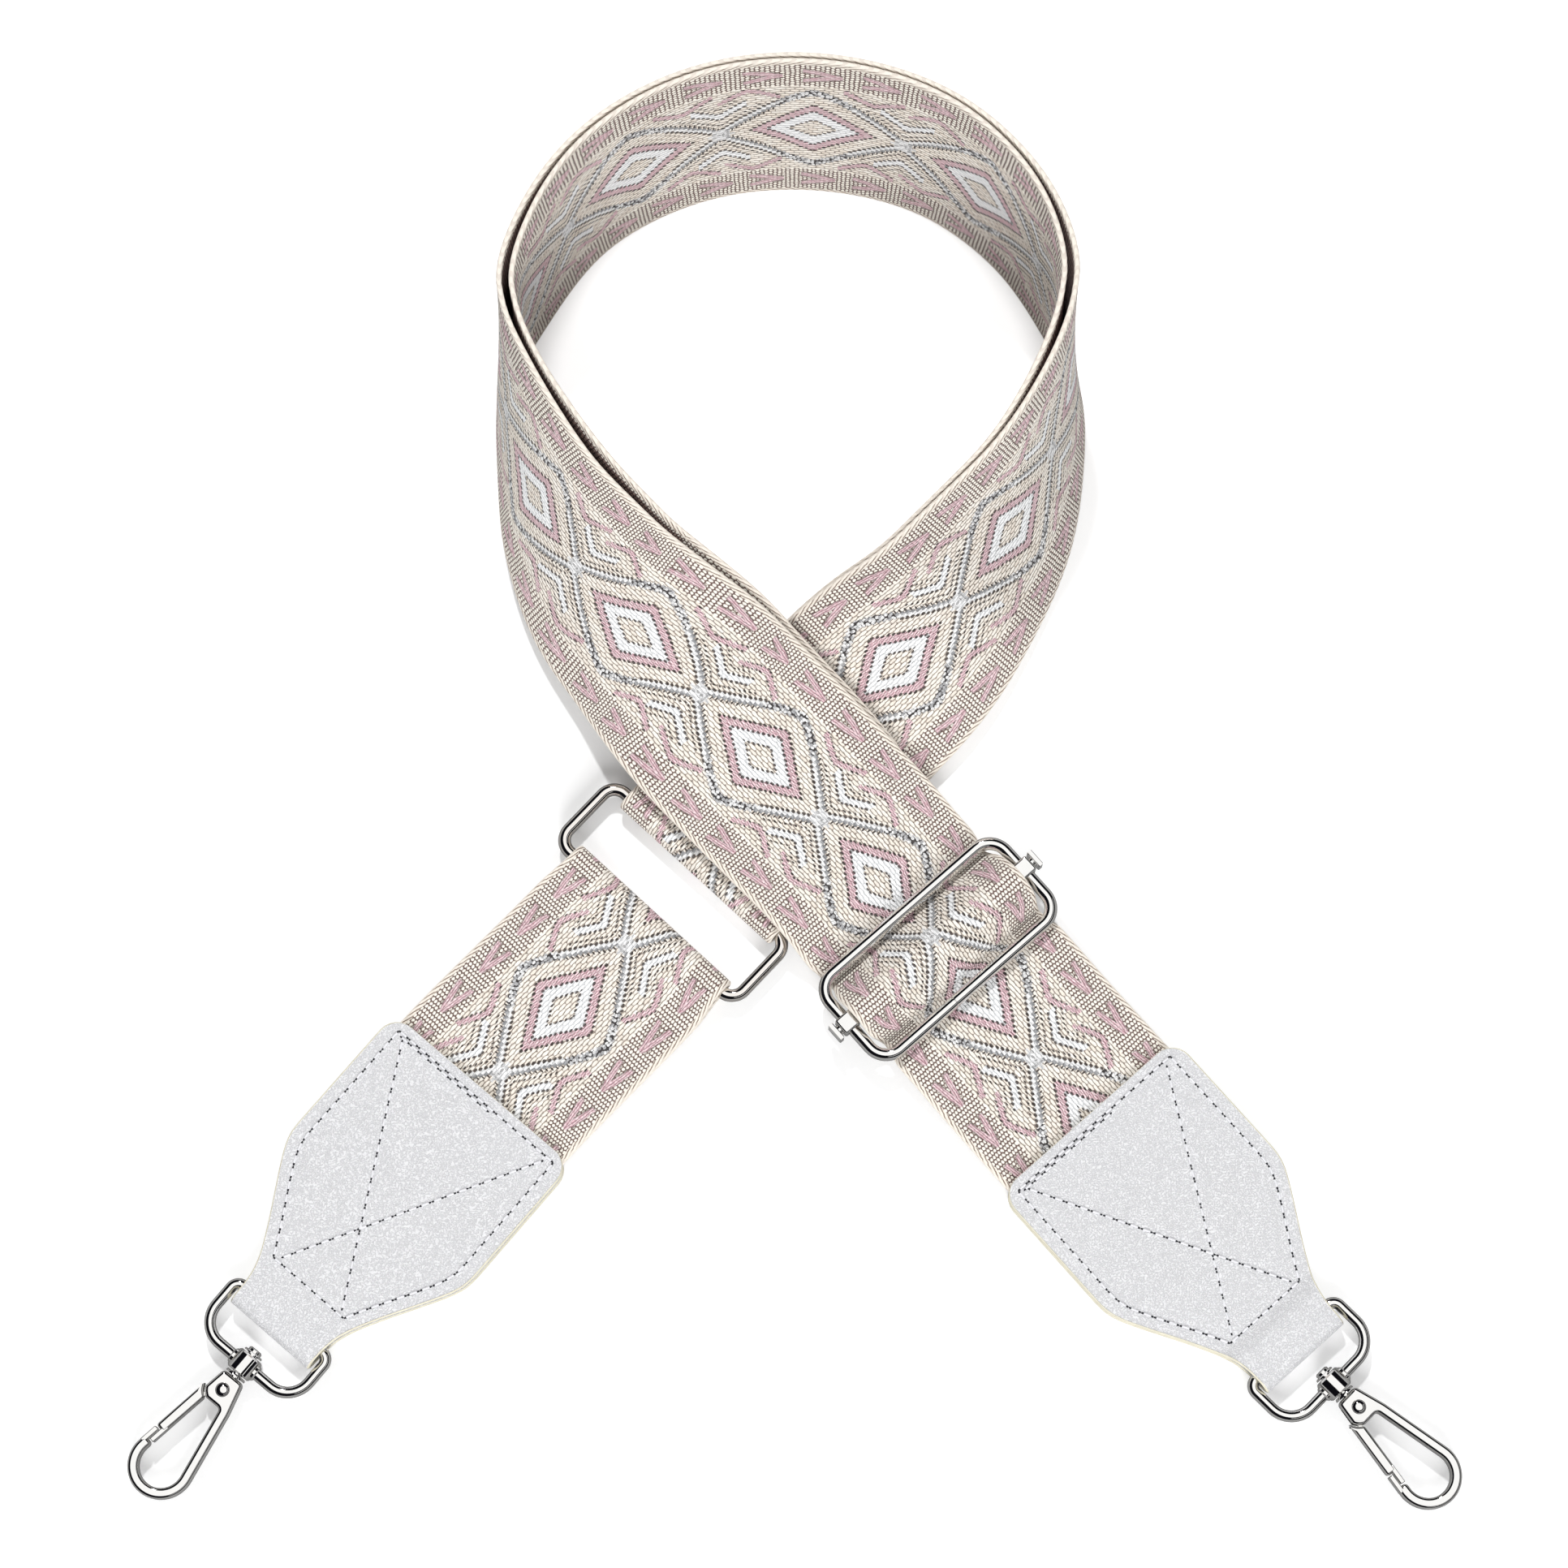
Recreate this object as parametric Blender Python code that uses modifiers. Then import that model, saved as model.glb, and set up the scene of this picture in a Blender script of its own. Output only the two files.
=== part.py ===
"""Detachable bag strap, laid out in a crossed loop, with a leather tab and a swivel clasp at each end.

One long webbing is folded round a rectangular ring, runs round the loop as two plies, and passes
through a three-bar slider. Lengths are in metres, +Z is up, and the strap lies on the plane z = 0.
"""

import math

import bmesh
import bpy
from mathutils import Matrix, Vector

UP = Vector((0.0, 0.0, 1.0))

# Clearances
RUNNING_GAP = 0.0003
PIN_SEAT_GAP = 0.0001
CUT_OVERRUN = 0.002

# Webbing
WEBBING_WIDTH = 0.050
WEBBING_THICKNESS = 0.0013
WEBBING_DRAW_IN = 0.0011
FOLD_SLACK = 0.0004
PLY_SPREAD = 0.0014
ROUTE_STEP = 0.0065
FOLD_STEPS = 8

# Laid-out route, measured from the point where the two legs cross
LOOP_LENGTH = 0.1553
UNDER_LEG_HEADING = 47.0
OVER_LEG_HEADING = -45.5
END_LEG_HEADING = -48.65
CROSSING_MARGIN = 0.001
LEG_END_LEVEL = 0.0018
FAR_BAR_DISTANCE = 0.0275
RING_FLARE = 0.011
END_LEG_LENGTH = 0.10505
SHORT_WEBBING_FREE = 0.0539
SHORT_WEBBING_DRIFT = 0.0007
LEFT_TAB_HEADING = 229.6

# Rows along the under leg: distance from the crossing as a share of CROSSING_HALF, and tilt in degrees.
UNDER_CROSSING_ROWS = ((-0.5, 0.0), (0.0, 3.0), (0.5, 8.0), (1.0, 15.0))

# Rows along the over leg: the same two, then the lift of its lower edge as a share of EDGE_LIFT.
OVER_CROSSING_ROWS = (
    (-1.0, 15.0, 1.0),
    (0.0, 5.0, 1.0),
    (0.5, 0.0, 1.0),
    (0.82, -1.8, 0.77),
    (1.0, -3.9, 0.49),
    (1.09, -5.0, 0.35),
    (1.19, -4.2, 0.27),
)

# Rows: x and y as shares of LOOP_LENGTH, tilt in degrees with 0 flat and 90 on edge,
# then lift as a share of EDGE_LIFT and room between the plies as a share of PLY_SPREAD.
LOOP_ROUTE_SHARES = (
    (0.1372, 0.1404, 20.0, 0.0, 0.0),
    (0.1713, 0.1719, 28.0, 0.0, 0.0),
    (0.2048, 0.1996, 35.0, 0.0, 0.0),
    (0.2306, 0.2225, 40.0, 0.0, 0.0),
    (0.2793, 0.2840, 47.0, 0.0, 0.0),
    (0.3260, 0.3489, 54.5, 0.0, 0.1),
    (0.3657, 0.4153, 62.5, 0.0, 0.2),
    (0.3964, 0.4928, 71.0, 0.0, 0.5),
    (0.4198, 0.5789, 78.5, 0.0, 0.8),
    (0.4265, 0.6670, 87.5, 0.0, 1.0),
    (0.4180, 0.7230, 93.0, 0.0, 1.0),
    (0.3540, 0.8450, 99.0, 0.0, 0.4),
    (0.2250, 0.9530, 103.0, 0.0, 0.1),
    (0.0425, 1.0, 105.0, 0.0, 0.1),
    (-0.1420, 0.9755, 104.0, 0.0, 0.1),
    (-0.3030, 0.8760, 100.0, 0.0, 0.3),
    (-0.4070, 0.7006, 93.0, 0.0, 1.0),
    (-0.4117, 0.6158, 83.0, 0.0, 0.8),
    (-0.3922, 0.5411, 76.5, 0.0, 0.4),
    (-0.3580, 0.4575, 68.0, 0.0, 0.2),
    (-0.3209, 0.3770, 58.0, 0.0, 0.1),
    (-0.2813, 0.3082, 48.0, 0.12, 0.0),
    (-0.2502, 0.2588, 43.0, 0.28, 0.0),
    (-0.2282, 0.2360, 40.5, 0.38, 0.0),
    (-0.1941, 0.2024, 36.0, 0.55, 0.0),
    (-0.1603, 0.1681, 29.0, 0.74, 0.0),
    (-0.1333, 0.1429, 22.0, 0.88, 0.0),
)

# Rectangular ring between the short and the long webbing
RING_WIRE = 0.0030
RING_SIDE_ROOM = 0.0014
RING_BAR_SPACING = 0.0189
RING_CORNER = 0.0038
RING_SIDE_SHIFT = 0.0008

# Slider
SLIDER_WIRE = 0.0030
SLIDER_SIDE_ROOM = 0.00065
SLIDER_OUTER_DEPTH = 0.0266
SLIDER_CORNER = 0.0050
SLIDER_DISTANCE = 0.053
SLIDER_FRAME_OFFSET = 0.0008
FRAME_PLAY = 0.001
SLEEVE_LENGTH = 0.0038
SLEEVE_WALL = 0.0006
STUD_RADIUS = 0.0015
STUD_REACH = 0.0019
ANCHOR_START = 0.016
ANCHOR_TAIL = 0.013
THROUGH_END = 0.017
BEND_SHARE = 0.08
TAIL_DROP_SHARE = 0.7
LEG_END_DESCENT = 0.018

# Leather tab
TAB_LENGTH = 0.0735
TAB_OVERHANG = 0.002
TAB_CORNER = 0.005
LEATHER_THICKNESS = 0.0013
TAB_WEBBING_INSIDE = 0.034
TAB_POCKET = 0.0138
POCKET_RISE = 0.005
NECK_CLEARANCE = 0.0007
# Rows: distance from the top edge as a share of the tab's length, and width as a share from neck to full.
TAB_OUTLINE_SHARES = (
    (0.475, 1.0),
    (0.51, 0.97),
    (0.54, 0.90),
    (0.59, 0.77),
    (0.66, 0.57),
    (0.73, 0.37),
    (0.79, 0.21),
    (0.845, 0.08),
    (0.90, 0.01),
    (0.93, 0.0),
)

# Seam thread
THREAD_RADIUS = 0.00025
SEAM_INSET = 0.0035
SEAM_TOP_INSET = 0.0024
SEAM_SPACING = 0.0010
THREAD_HUMP = 0.0009
THREAD_HUMP_REACH = 0.002

# Swivel eye, a flattened ring with a hub on its outer side
EYE_WIRE = 0.0027
EYE_OUTER_WIDTH = 0.0304
EYE_BAR_INSET = 0.0048
EYE_HUB_DISTANCE = 0.0084
EYE_HOOK_CORNER = 0.0062
EYE_BAR_CORNER = 0.0021
RIGHT_EYE_SKEW = 3.75
LEFT_EYE_SKEW = 0.8
RIGHT_POST_CANT = 0.0
LEFT_POST_CANT = 1.0
HUB_RADIUS = 0.0032
HUB_LENGTH = 0.0050
HUB_FLOOR_GAP = 0.00005

# Swivel post
POST_RADIUS = 0.0013
POST_HEAD_RADIUS = 0.0024
POST_HEAD_HEIGHT = 0.0014
POST_SHOULDER_RADIUS = 0.0026
POST_SHOULDER_HEIGHT = 0.0006
POST_TAIL_RADIUS = 0.0010
POST_TAIL_LENGTH = 0.0012

# Hook, measured from the hub's middle along the clasp
HOOK_THICKNESS = 0.0034
HOOK_NECK_HALF = 0.0028
HOOK_BAND = 0.0026
HOOK_PIN_DISTANCE = 0.0074
HOOK_ARM_START = 0.0113
HOOK_ARM_OFFSET = 0.00345
HOOK_ARM_ANGLE = 9.7
HOOK_NOSE_DISTANCE = 0.0288
HOOK_CHEEK_RADIUS = 0.0041
HOOK_CHEEK_END_ANGLE = -66.0
NOSE_FACETS = 11
SLOT_HEIGHT = 0.0015
SLOT_START = 0.0052
SLOT_WALL_OFFSET = 0.00195
SLOT_REACH = 0.0065
LIP_DISTANCE = 0.0120
TONGUE_DISTANCE = 0.0148

# Gate, its pin and its spring
GATE_THICKNESS = 0.0030
GATE_LUG_THICKNESS = 0.0009
GATE_EYE_RADIUS = 0.00145
GATE_ARM_WIDTH = 0.0018
GATE_ROOT_SETBACK = 0.0002
PIN_RADIUS = 0.0007
PIN_DOME_RADIUS = 0.00165
PIN_DOME_HEIGHT = 0.00065
PIN_FOOT_RADIUS = 0.0012
PIN_FOOT_HEIGHT = 0.0003
SPRING_WIRE = 0.00024
SPRING_RUN_OFFSET = 0.0017
# Spring bends, along and across from the pin, as shares of SPRING_RUN_OFFSET
SPRING_SHARES = ((-1.15, 0.35), (-1.06, 0.76), (-0.7, 1.0), (0.7, 1.0), (1.41, 0.53), (1.59, -0.18))

# Sizes that follow from the ones above
HALF_WIDTH = WEBBING_WIDTH / 2
RING_OUTER_LENGTH = WEBBING_WIDTH + 2 * (RING_SIDE_ROOM + RING_WIRE)
SLIDER_OUTER_LENGTH = WEBBING_WIDTH + 2 * (SLIDER_SIDE_ROOM + SLIDER_WIRE)
PLY_PITCH = WEBBING_THICKNESS + RUNNING_GAP
STACK_MIDDLE = WEBBING_THICKNESS + RUNNING_GAP / 2
FOLD_RADIUS = RING_WIRE / 2 + FOLD_SLACK + WEBBING_THICKNESS / 2
FOLD_HEIGHT = FOLD_RADIUS + WEBBING_THICKNESS / 2
CROSSING_HALF = HALF_WIDTH + CROSSING_MARGIN
EDGE_LIFT = 2 * FOLD_HEIGHT + RUNNING_GAP
SLIDER_PLANE = 3 * PLY_PITCH + SLIDER_WIRE / 2
ANCHOR_RADIUS = SLIDER_WIRE / 2 + RUNNING_GAP + WEBBING_THICKNESS / 2
UNDER_BAR_HEIGHT = 2 * PLY_PITCH + WEBBING_THICKNESS / 2
THROUGH_RADIUS = ANCHOR_RADIUS + PLY_PITCH + RUNNING_GAP
THROUGH_REACH = (SLIDER_OUTER_DEPTH - SLIDER_WIRE) / 2 - SLIDER_WIRE / 2 - RUNNING_GAP - FRAME_PLAY
DRAWN_HALF = HALF_WIDTH - WEBBING_DRAW_IN
CLASP_HEIGHT = HUB_RADIUS + HUB_FLOOR_GAP
EYE_HALF = (EYE_OUTER_WIDTH - EYE_WIRE) / 2
NECK_HALF = EYE_HALF - EYE_WIRE / 2 - NECK_CLEARANCE
TAB_HALF = HALF_WIDTH + TAB_OVERHANG
POCKET_HALF_GAP = EYE_WIRE / 2 + RUNNING_GAP
POCKET_RADIUS = POCKET_HALF_GAP + LEATHER_THICKNESS / 2
EYE_BAR_DISTANCE = TAB_LENGTH - EYE_BAR_INSET
HUB_DISTANCE = TAB_LENGTH + EYE_HUB_DISTANCE
EYE_DEPTH = HUB_DISTANCE - EYE_BAR_DISTANCE
HOOK_START = HUB_LENGTH / 2 + 2 * RUNNING_GAP + POST_SHOULDER_HEIGHT

SCENE = bpy.context.scene


def clear_scene():
    for obj in list(bpy.data.objects):
        bpy.data.objects.remove(obj, do_unlink=True)


def collection(name):
    made = bpy.data.collections.new(name)
    SCENE.collection.children.link(made)
    return made


def material(name, colour, roughness, metallic):
    made = bpy.data.materials.new(name)
    made.use_nodes = True
    made.diffuse_color = (*colour, 1.0)
    shader = made.node_tree.nodes["Principled BSDF"]
    shader.inputs["Base Color"].default_value = (*colour, 1.0)
    shader.inputs["Roughness"].default_value = roughness
    shader.inputs["Metallic"].default_value = metallic
    return made


clear_scene()
PARTS = collection("detachable_bag_strap")
CUTTERS = collection("cutters")


def webbing_material(name):
    return material(name, (0.78, 0.66, 0.60), 0.85, 0.0)


def leather_material(name):
    return material(name, (0.77, 0.77, 0.82), 0.5, 0.0)


def thread_material(name):
    return material(name, (0.20, 0.21, 0.23), 0.7, 0.0)


def metal_material(name):
    return material(name, (0.80, 0.79, 0.77), 0.12, 1.0)


def heading(degrees):
    angle = math.radians(degrees)
    return Vector((math.cos(angle), math.sin(angle), 0.0))


def smoothstep(value):
    share = min(1.0, max(0.0, value))
    return share * share * (3 - 2 * share)


def arc(centre_x, centre_y, radius, start, end, steps):
    """Points on an arc, from the start angle to the end angle in degrees."""
    points = []
    for step in range(steps + 1):
        angle = math.radians(start + (end - start) * step / steps)
        points.append((centre_x + radius * math.cos(angle), centre_y + radius * math.sin(angle)))
    return points


def empty(name, parent, location, turn=0.0):
    made = bpy.data.objects.new(name, None)
    made.empty_display_size = WEBBING_THICKNESS
    made.parent = parent
    made.location = location
    made.rotation_euler = (0.0, 0.0, math.radians(turn))
    PARTS.objects.link(made)
    return made


def keep(obj, look, parent, group=PARTS):
    obj.data.materials.append(look)
    obj.parent = parent
    group.objects.link(obj)
    return obj


def shade_round(obj):
    obj.data.shade_smooth()
    obj.data.set_sharp_from_angle(angle=math.radians(35.0))


def ribbon(name, stations, thickness, look, parent):
    """A strip of even thickness. Each station is its middle, its direction across and its half width."""
    mesh = bpy.data.meshes.new(name)
    points = []
    for middle, across, half in stations:
        points.append(middle - across * half)
        points.append(middle + across * half)
    faces = [(2 * i, 2 * i + 1, 2 * i + 3, 2 * i + 2) for i in range(len(stations) - 1)]
    mesh.from_pydata(points, [], faces)
    obj = keep(bpy.data.objects.new(name, mesh), look, parent)
    solid = obj.modifiers.new("thickness", "SOLIDIFY")
    solid.thickness = thickness
    solid.offset = 0.0
    solid.use_even_offset = True
    return obj


def wire(name, points, radius, look, parent, cyclic=False, resolution=3):
    """A round wire along a list of points."""
    curve = bpy.data.curves.new(name, "CURVE")
    curve.dimensions = "3D"
    curve.bevel_depth = radius
    curve.bevel_resolution = resolution
    curve.use_fill_caps = not cyclic
    spline = curve.splines.new("POLY")
    spline.points.add(len(points) - 1)
    for point, place in zip(spline.points, points):
        point.co = (*place, 1.0)
    spline.use_cyclic_u = cyclic
    spline.use_smooth = True
    return keep(bpy.data.objects.new(name, curve), look, parent)


def plate(name, outline, half_thickness, look, parent, group=PARTS):
    """A flat outline of even thickness about the plane z = 0."""
    curve = bpy.data.curves.new(name, "CURVE")
    curve.dimensions = "2D"
    curve.fill_mode = "BOTH"
    curve.extrude = half_thickness
    spline = curve.splines.new("POLY")
    spline.points.add(len(outline) - 1)
    for point, (x, y) in zip(spline.points, outline):
        point.co = (x, y, 0.0, 1.0)
    spline.use_cyclic_u = True
    return keep(bpy.data.objects.new(name, curve), look, parent, group)


def to_mesh(obj):
    """The curve object as a closed mesh object of the same name, place and parent."""
    bpy.context.view_layer.update()
    graph = bpy.context.evaluated_depsgraph_get()
    mesh = bpy.data.meshes.new_from_object(obj.evaluated_get(graph))
    work = bmesh.new()
    work.from_mesh(mesh)
    bmesh.ops.remove_doubles(work, verts=work.verts, dist=1e-6)
    bmesh.ops.recalc_face_normals(work, faces=work.faces)
    work.to_mesh(mesh)
    work.free()
    name = obj.name
    group = obj.users_collection[0]
    made = bpy.data.objects.new(name, mesh)
    made.parent = obj.parent
    made.matrix_parent_inverse = obj.matrix_parent_inverse.copy()
    made.location = obj.location
    made.rotation_euler = obj.rotation_euler
    bpy.data.objects.remove(obj, do_unlink=True)
    made.name = name
    group.objects.link(made)
    return made


def primitive(name, work, place, parent):
    """A hidden helper solid from a bmesh, moved by a matrix."""
    bmesh.ops.transform(work, matrix=place, verts=work.verts)
    mesh = bpy.data.meshes.new(name)
    work.to_mesh(mesh)
    work.free()
    obj = bpy.data.objects.new(name, mesh)
    obj.parent = parent
    obj.hide_render = True
    obj.display_type = "WIRE"
    CUTTERS.objects.link(obj)
    return obj


def round_tool(name, radius, length, place, parent, sides=20):
    work = bmesh.new()
    bmesh.ops.create_cone(
        work, cap_ends=True, segments=sides, radius1=radius, radius2=radius, depth=length
    )
    return primitive(name, work, place, parent)


def box_tool(name, low, high, parent):
    work = bmesh.new()
    bmesh.ops.create_cube(work, size=1.0)
    size = Vector(high) - Vector(low)
    middle = (Vector(high) + Vector(low)) / 2
    place = Matrix.Translation(middle) @ Matrix.Diagonal((*size, 1.0))
    return primitive(name, work, place, parent)


def combine(obj, tool, operation):
    step = obj.modifiers.new(tool.name, "BOOLEAN")
    step.operation = operation
    step.object = tool
    step.solver = "EXACT"


def turned(name, profile, look, parent, steps=20):
    """A solid turned about the local X axis. The profile lists (distance along, radius)."""
    mesh = bpy.data.meshes.new(name)
    points = [(radius, 0.0, -along) for along, radius in profile]
    mesh.from_pydata(points, [(i, i + 1) for i in range(len(points) - 1)], [])
    obj = keep(bpy.data.objects.new(name, mesh), look, parent)
    obj.rotation_euler = (0.0, -math.pi / 2, 0.0)
    screw = obj.modifiers.new("turn", "SCREW")
    screw.axis = "Z"
    screw.steps = steps
    screw.render_steps = steps
    screw.use_merge_vertices = True
    screw.merge_threshold = 1e-6
    return obj


def loop_outline(half_x, half_y, corner, steps=6):
    """A rounded rectangle in the plane z = 0, as wire middle points."""
    return two_corner_outline(-half_x, half_x, half_y, corner, corner, steps)


def two_corner_outline(low_x, high_x, half_y, low_corner, high_corner, steps=6):
    points = []
    points += arc(high_x - high_corner, half_y - high_corner, high_corner, 0, 90, steps)
    points += arc(low_x + low_corner, half_y - low_corner, low_corner, 90, 180, steps)
    points += arc(low_x + low_corner, low_corner - half_y, low_corner, 180, 270, steps)
    points += arc(high_x - high_corner, high_corner - half_y, high_corner, 270, 360, steps)
    return [(x, y, 0.0) for x, y in points]


def sample_rows(rows, step):
    """Even samples of a smooth curve through rows whose first two numbers are x and y."""
    marks = [0.0]
    for before, after in zip(rows, rows[1:]):
        marks.append(marks[-1] + math.dist(before[:2], after[:2]))
    slopes = []
    for i in range(len(rows)):
        low, high = max(0, i - 1), min(len(rows) - 1, i + 1)
        span = marks[high] - marks[low]
        slopes.append([(b - a) / span for a, b in zip(rows[low], rows[high])])
    samples = []
    for i in range(len(rows) - 1):
        span = marks[i + 1] - marks[i]
        count = max(1, round(span / step))
        for j in range(count + (i == len(rows) - 2)):
            t = j / count
            h00, h01 = 2 * t**3 - 3 * t**2 + 1, 3 * t**2 - 2 * t**3
            h10, h11 = (t**3 - 2 * t**2 + t) * span, (t**3 - t**2) * span
            samples.append(
                [
                    h00 * a + h01 * b + h10 * da + h11 * db
                    for a, b, da, db in zip(rows[i], rows[i + 1], slopes[i], slopes[i + 1])
                ]
            )
    return samples


def middle_height(tilt, lift):
    """Height of the middle of a two-ply band whose lower edge is lifted off the table."""
    angle = math.radians(tilt)
    return HALF_WIDTH * abs(math.sin(angle)) + STACK_MIDDLE * abs(math.cos(angle)) + lift


def folded_webbing(name, rows, parent):
    """A webbing folded round a bar at the first row. Rows are (x, y, tilt, lift, spread)."""
    samples = sample_rows(rows, ROUTE_STEP)
    travelled = [0.0]
    for before, after in zip(samples, samples[1:]):
        travelled.append(travelled[-1] + math.dist(before[:2], after[:2]))
    middles = []
    flares = []
    for (x, y, tilt, lift, _), distance in zip(samples, travelled):
        flare = 1 - smoothstep(distance / RING_FLARE)
        flares.append(flare)
        height = middle_height(tilt, lift)
        middles.append(Vector((x, y, height + (FOLD_HEIGHT - height) * flare)))
    frames = []
    for i, (middle, sample) in enumerate(zip(middles, samples)):
        ahead = middles[min(i + 1, len(middles) - 1)]
        behind = middles[max(i - 1, 0)]
        along = ahead - behind
        if i == 0:
            along.z = 0.0
        along.normalize()
        level = Vector((along.x, along.y, 0.0)).normalized()
        angle = math.radians(sample[2])
        across = UP.cross(level) * math.cos(angle) + UP * math.sin(angle)
        across = (across - along * across.dot(along)).normalized()
        gap = RUNNING_GAP + PLY_SPREAD * max(0.0, sample[4])
        apart = (WEBBING_THICKNESS + gap) / 2
        apart += (FOLD_RADIUS - apart) * flares[i]
        half = HALF_WIDTH - WEBBING_DRAW_IN * flares[i]
        frames.append((middle, along, across, along.cross(across), apart, half))
    inner = [(m - n * a, c, h) for m, t, c, n, a, h in reversed(frames)]
    outer = [(m + n * a, c, h) for m, t, c, n, a, h in frames]
    bar, along, across, normal, apart, half = frames[0]
    turn = []
    for step in range(1, FOLD_STEPS):
        angle = math.pi * step / FOLD_STEPS
        middle = bar - normal * (apart * math.cos(angle)) - along * (apart * math.sin(angle))
        turn.append((middle, across, half))
    return ribbon(name, inner + turn + outer, WEBBING_THICKNESS, webbing_material(name), parent)


def long_route():
    """Rows of the long webbing, from the ring's far bar to the slider."""
    under = heading(UNDER_LEG_HEADING)
    over = heading(OVER_LEG_HEADING)
    end = heading(END_LEG_HEADING)
    rows = []
    rows.append((-under.x * FAR_BAR_DISTANCE, -under.y * FAR_BAR_DISTANCE, 0.0, 0.0, 0.0))
    for share, tilt in UNDER_CROSSING_ROWS:
        place = under * (CROSSING_HALF * share)
        rows.append((place.x, place.y, tilt, 0.0, 0.0))
    for x, y, tilt, lift, spread in LOOP_ROUTE_SHARES:
        rows.append((x * LOOP_LENGTH, y * LOOP_LENGTH, tilt, lift * EDGE_LIFT, spread))
    for share, tilt, lift in OVER_CROSSING_ROWS:
        place = (over if share < 0 else end) * (CROSSING_HALF * share)
        rows.append((place.x, place.y, tilt, lift * EDGE_LIFT, 0.0))
    last = SLIDER_DISTANCE - ANCHOR_START - RUNNING_GAP
    for place in (last - LEG_END_LEVEL, last - LEG_END_LEVEL / 2, last):
        rows.append((end.x * place, end.y * place, 0.0, PLY_PITCH, 0.0))
    return rows


def short_route():
    """Rows of the short webbing, from the ring's near bar into the left tab, and the tab's top edge."""
    away = -heading(UNDER_LEG_HEADING)
    bar = away * (FAR_BAR_DISTANCE + RING_BAR_SPACING)
    top = bar + away * SHORT_WEBBING_FREE + UP.cross(-away) * SHORT_WEBBING_DRIFT
    lift = LEATHER_THICKNESS + RUNNING_GAP
    rows = [(*(bar + away * (SHORT_WEBBING_FREE * share)).xy, 0.0, lift, 0.0) for share in (0, 0.3)]
    rows += [(*bar.lerp(top, 0.7).xy, 0.0, lift, 0.0), (*top.xy, 0.0, lift, 0.0)]
    inside = heading(LEFT_TAB_HEADING)
    for share in (0.5, 1.0):
        rows.append((*(top + inside * (TAB_WEBBING_INSIDE * share)).xy, 0.0, lift, 0.0))
    return rows, top


def climb(foot, level, radius):
    """A level run's bend and its straight climb onto a circle about the crossbar, and the angle it meets."""
    distance = math.hypot(foot, level)
    slope = math.atan2(-level, foot) + math.asin(radius / distance)
    bend = foot * BEND_SHARE
    corner = [(-foot - bend, level), (-foot + bend * math.cos(slope), level + bend * math.sin(slope))]
    return corner, 90 + math.degrees(slope)


def drawn_half(x):
    """Half width of webbing near the crossbar, drawn in between the frame's sides."""
    share = smoothstep((abs(x) - THROUGH_REACH) / (ANCHOR_START - THROUGH_REACH))
    return DRAWN_HALF + (HALF_WIDTH - DRAWN_HALF) * share


def level_stations(profile, half_of):
    """Ribbon stations from (x, z) points in a frame whose X runs along the webbing."""
    return [(Vector((x, 0.0, z)), Vector((0.0, 1.0, 0.0)), half_of(x)) for x, z in profile]


def through_webbing(parent):
    """The outer ply over the crossbar, level where it passes under the frame's two long bars."""
    level = UNDER_BAR_HEIGHT - SLIDER_PLANE
    rise, meet = climb(THROUGH_REACH, level, THROUGH_RADIUS)
    profile = [(-ANCHOR_START, level), *rise]
    profile += arc(0.0, 0.0, THROUGH_RADIUS, meet, 180 - meet, 8)
    profile += [(-x, z) for x, z in reversed(rise)]
    profile += [(THROUGH_END, level)]
    name = "webbing_through_slider"
    stations = level_stations(profile, drawn_half)
    return ribbon(name, stations, WEBBING_THICKNESS, webbing_material(name), parent)


def anchor_fold(parent):
    """The inner ply's end: over the crossbar, round it, and back beneath as the sewn tail."""
    level = UNDER_BAR_HEIGHT - SLIDER_PLANE - PLY_PITCH
    rise, meet = climb(THROUGH_REACH - 2 * RUNNING_GAP, level, ANCHOR_RADIUS)
    profile = [(-ANCHOR_START, level), *rise]
    profile += arc(0.0, 0.0, ANCHOR_RADIUS, meet, -90, 12)
    floor = WEBBING_THICKNESS / 2 + HUB_FLOOR_GAP - SLIDER_PLANE
    for share in (0.2, 0.4, 0.6, 0.8, 1.0):
        drop = smoothstep(share / TAIL_DROP_SHARE)
        profile.append((-ANCHOR_TAIL * share, -ANCHOR_RADIUS + (floor + ANCHOR_RADIUS) * drop))
    name = "webbing_anchor_fold"
    stations = level_stations(profile, drawn_half)
    return ribbon(name, stations, WEBBING_THICKNESS, webbing_material(name), parent)


def end_webbing(parent):
    """The outer ply's single run from the slider into the right tab."""
    start = SLIDER_DISTANCE + THROUGH_END + RUNNING_GAP
    stop = END_LEG_LENGTH + TAB_WEBBING_INSIDE
    low = LEATHER_THICKNESS + RUNNING_GAP + WEBBING_THICKNESS / 2
    profile = []
    for step in range(7):
        x = start + LEG_END_DESCENT * step / 6
        profile.append((x, UNDER_BAR_HEIGHT + (low - UNDER_BAR_HEIGHT) * smoothstep(step / 6)))
    profile.append((stop, low))
    stations = [(Vector((x, 0.0, z)), Vector((0.0, 1.0, 0.0)), HALF_WIDTH) for x, z in profile]
    name = "long_webbing_end"
    return ribbon(name, stations, WEBBING_THICKNESS, webbing_material(name), parent)


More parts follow.
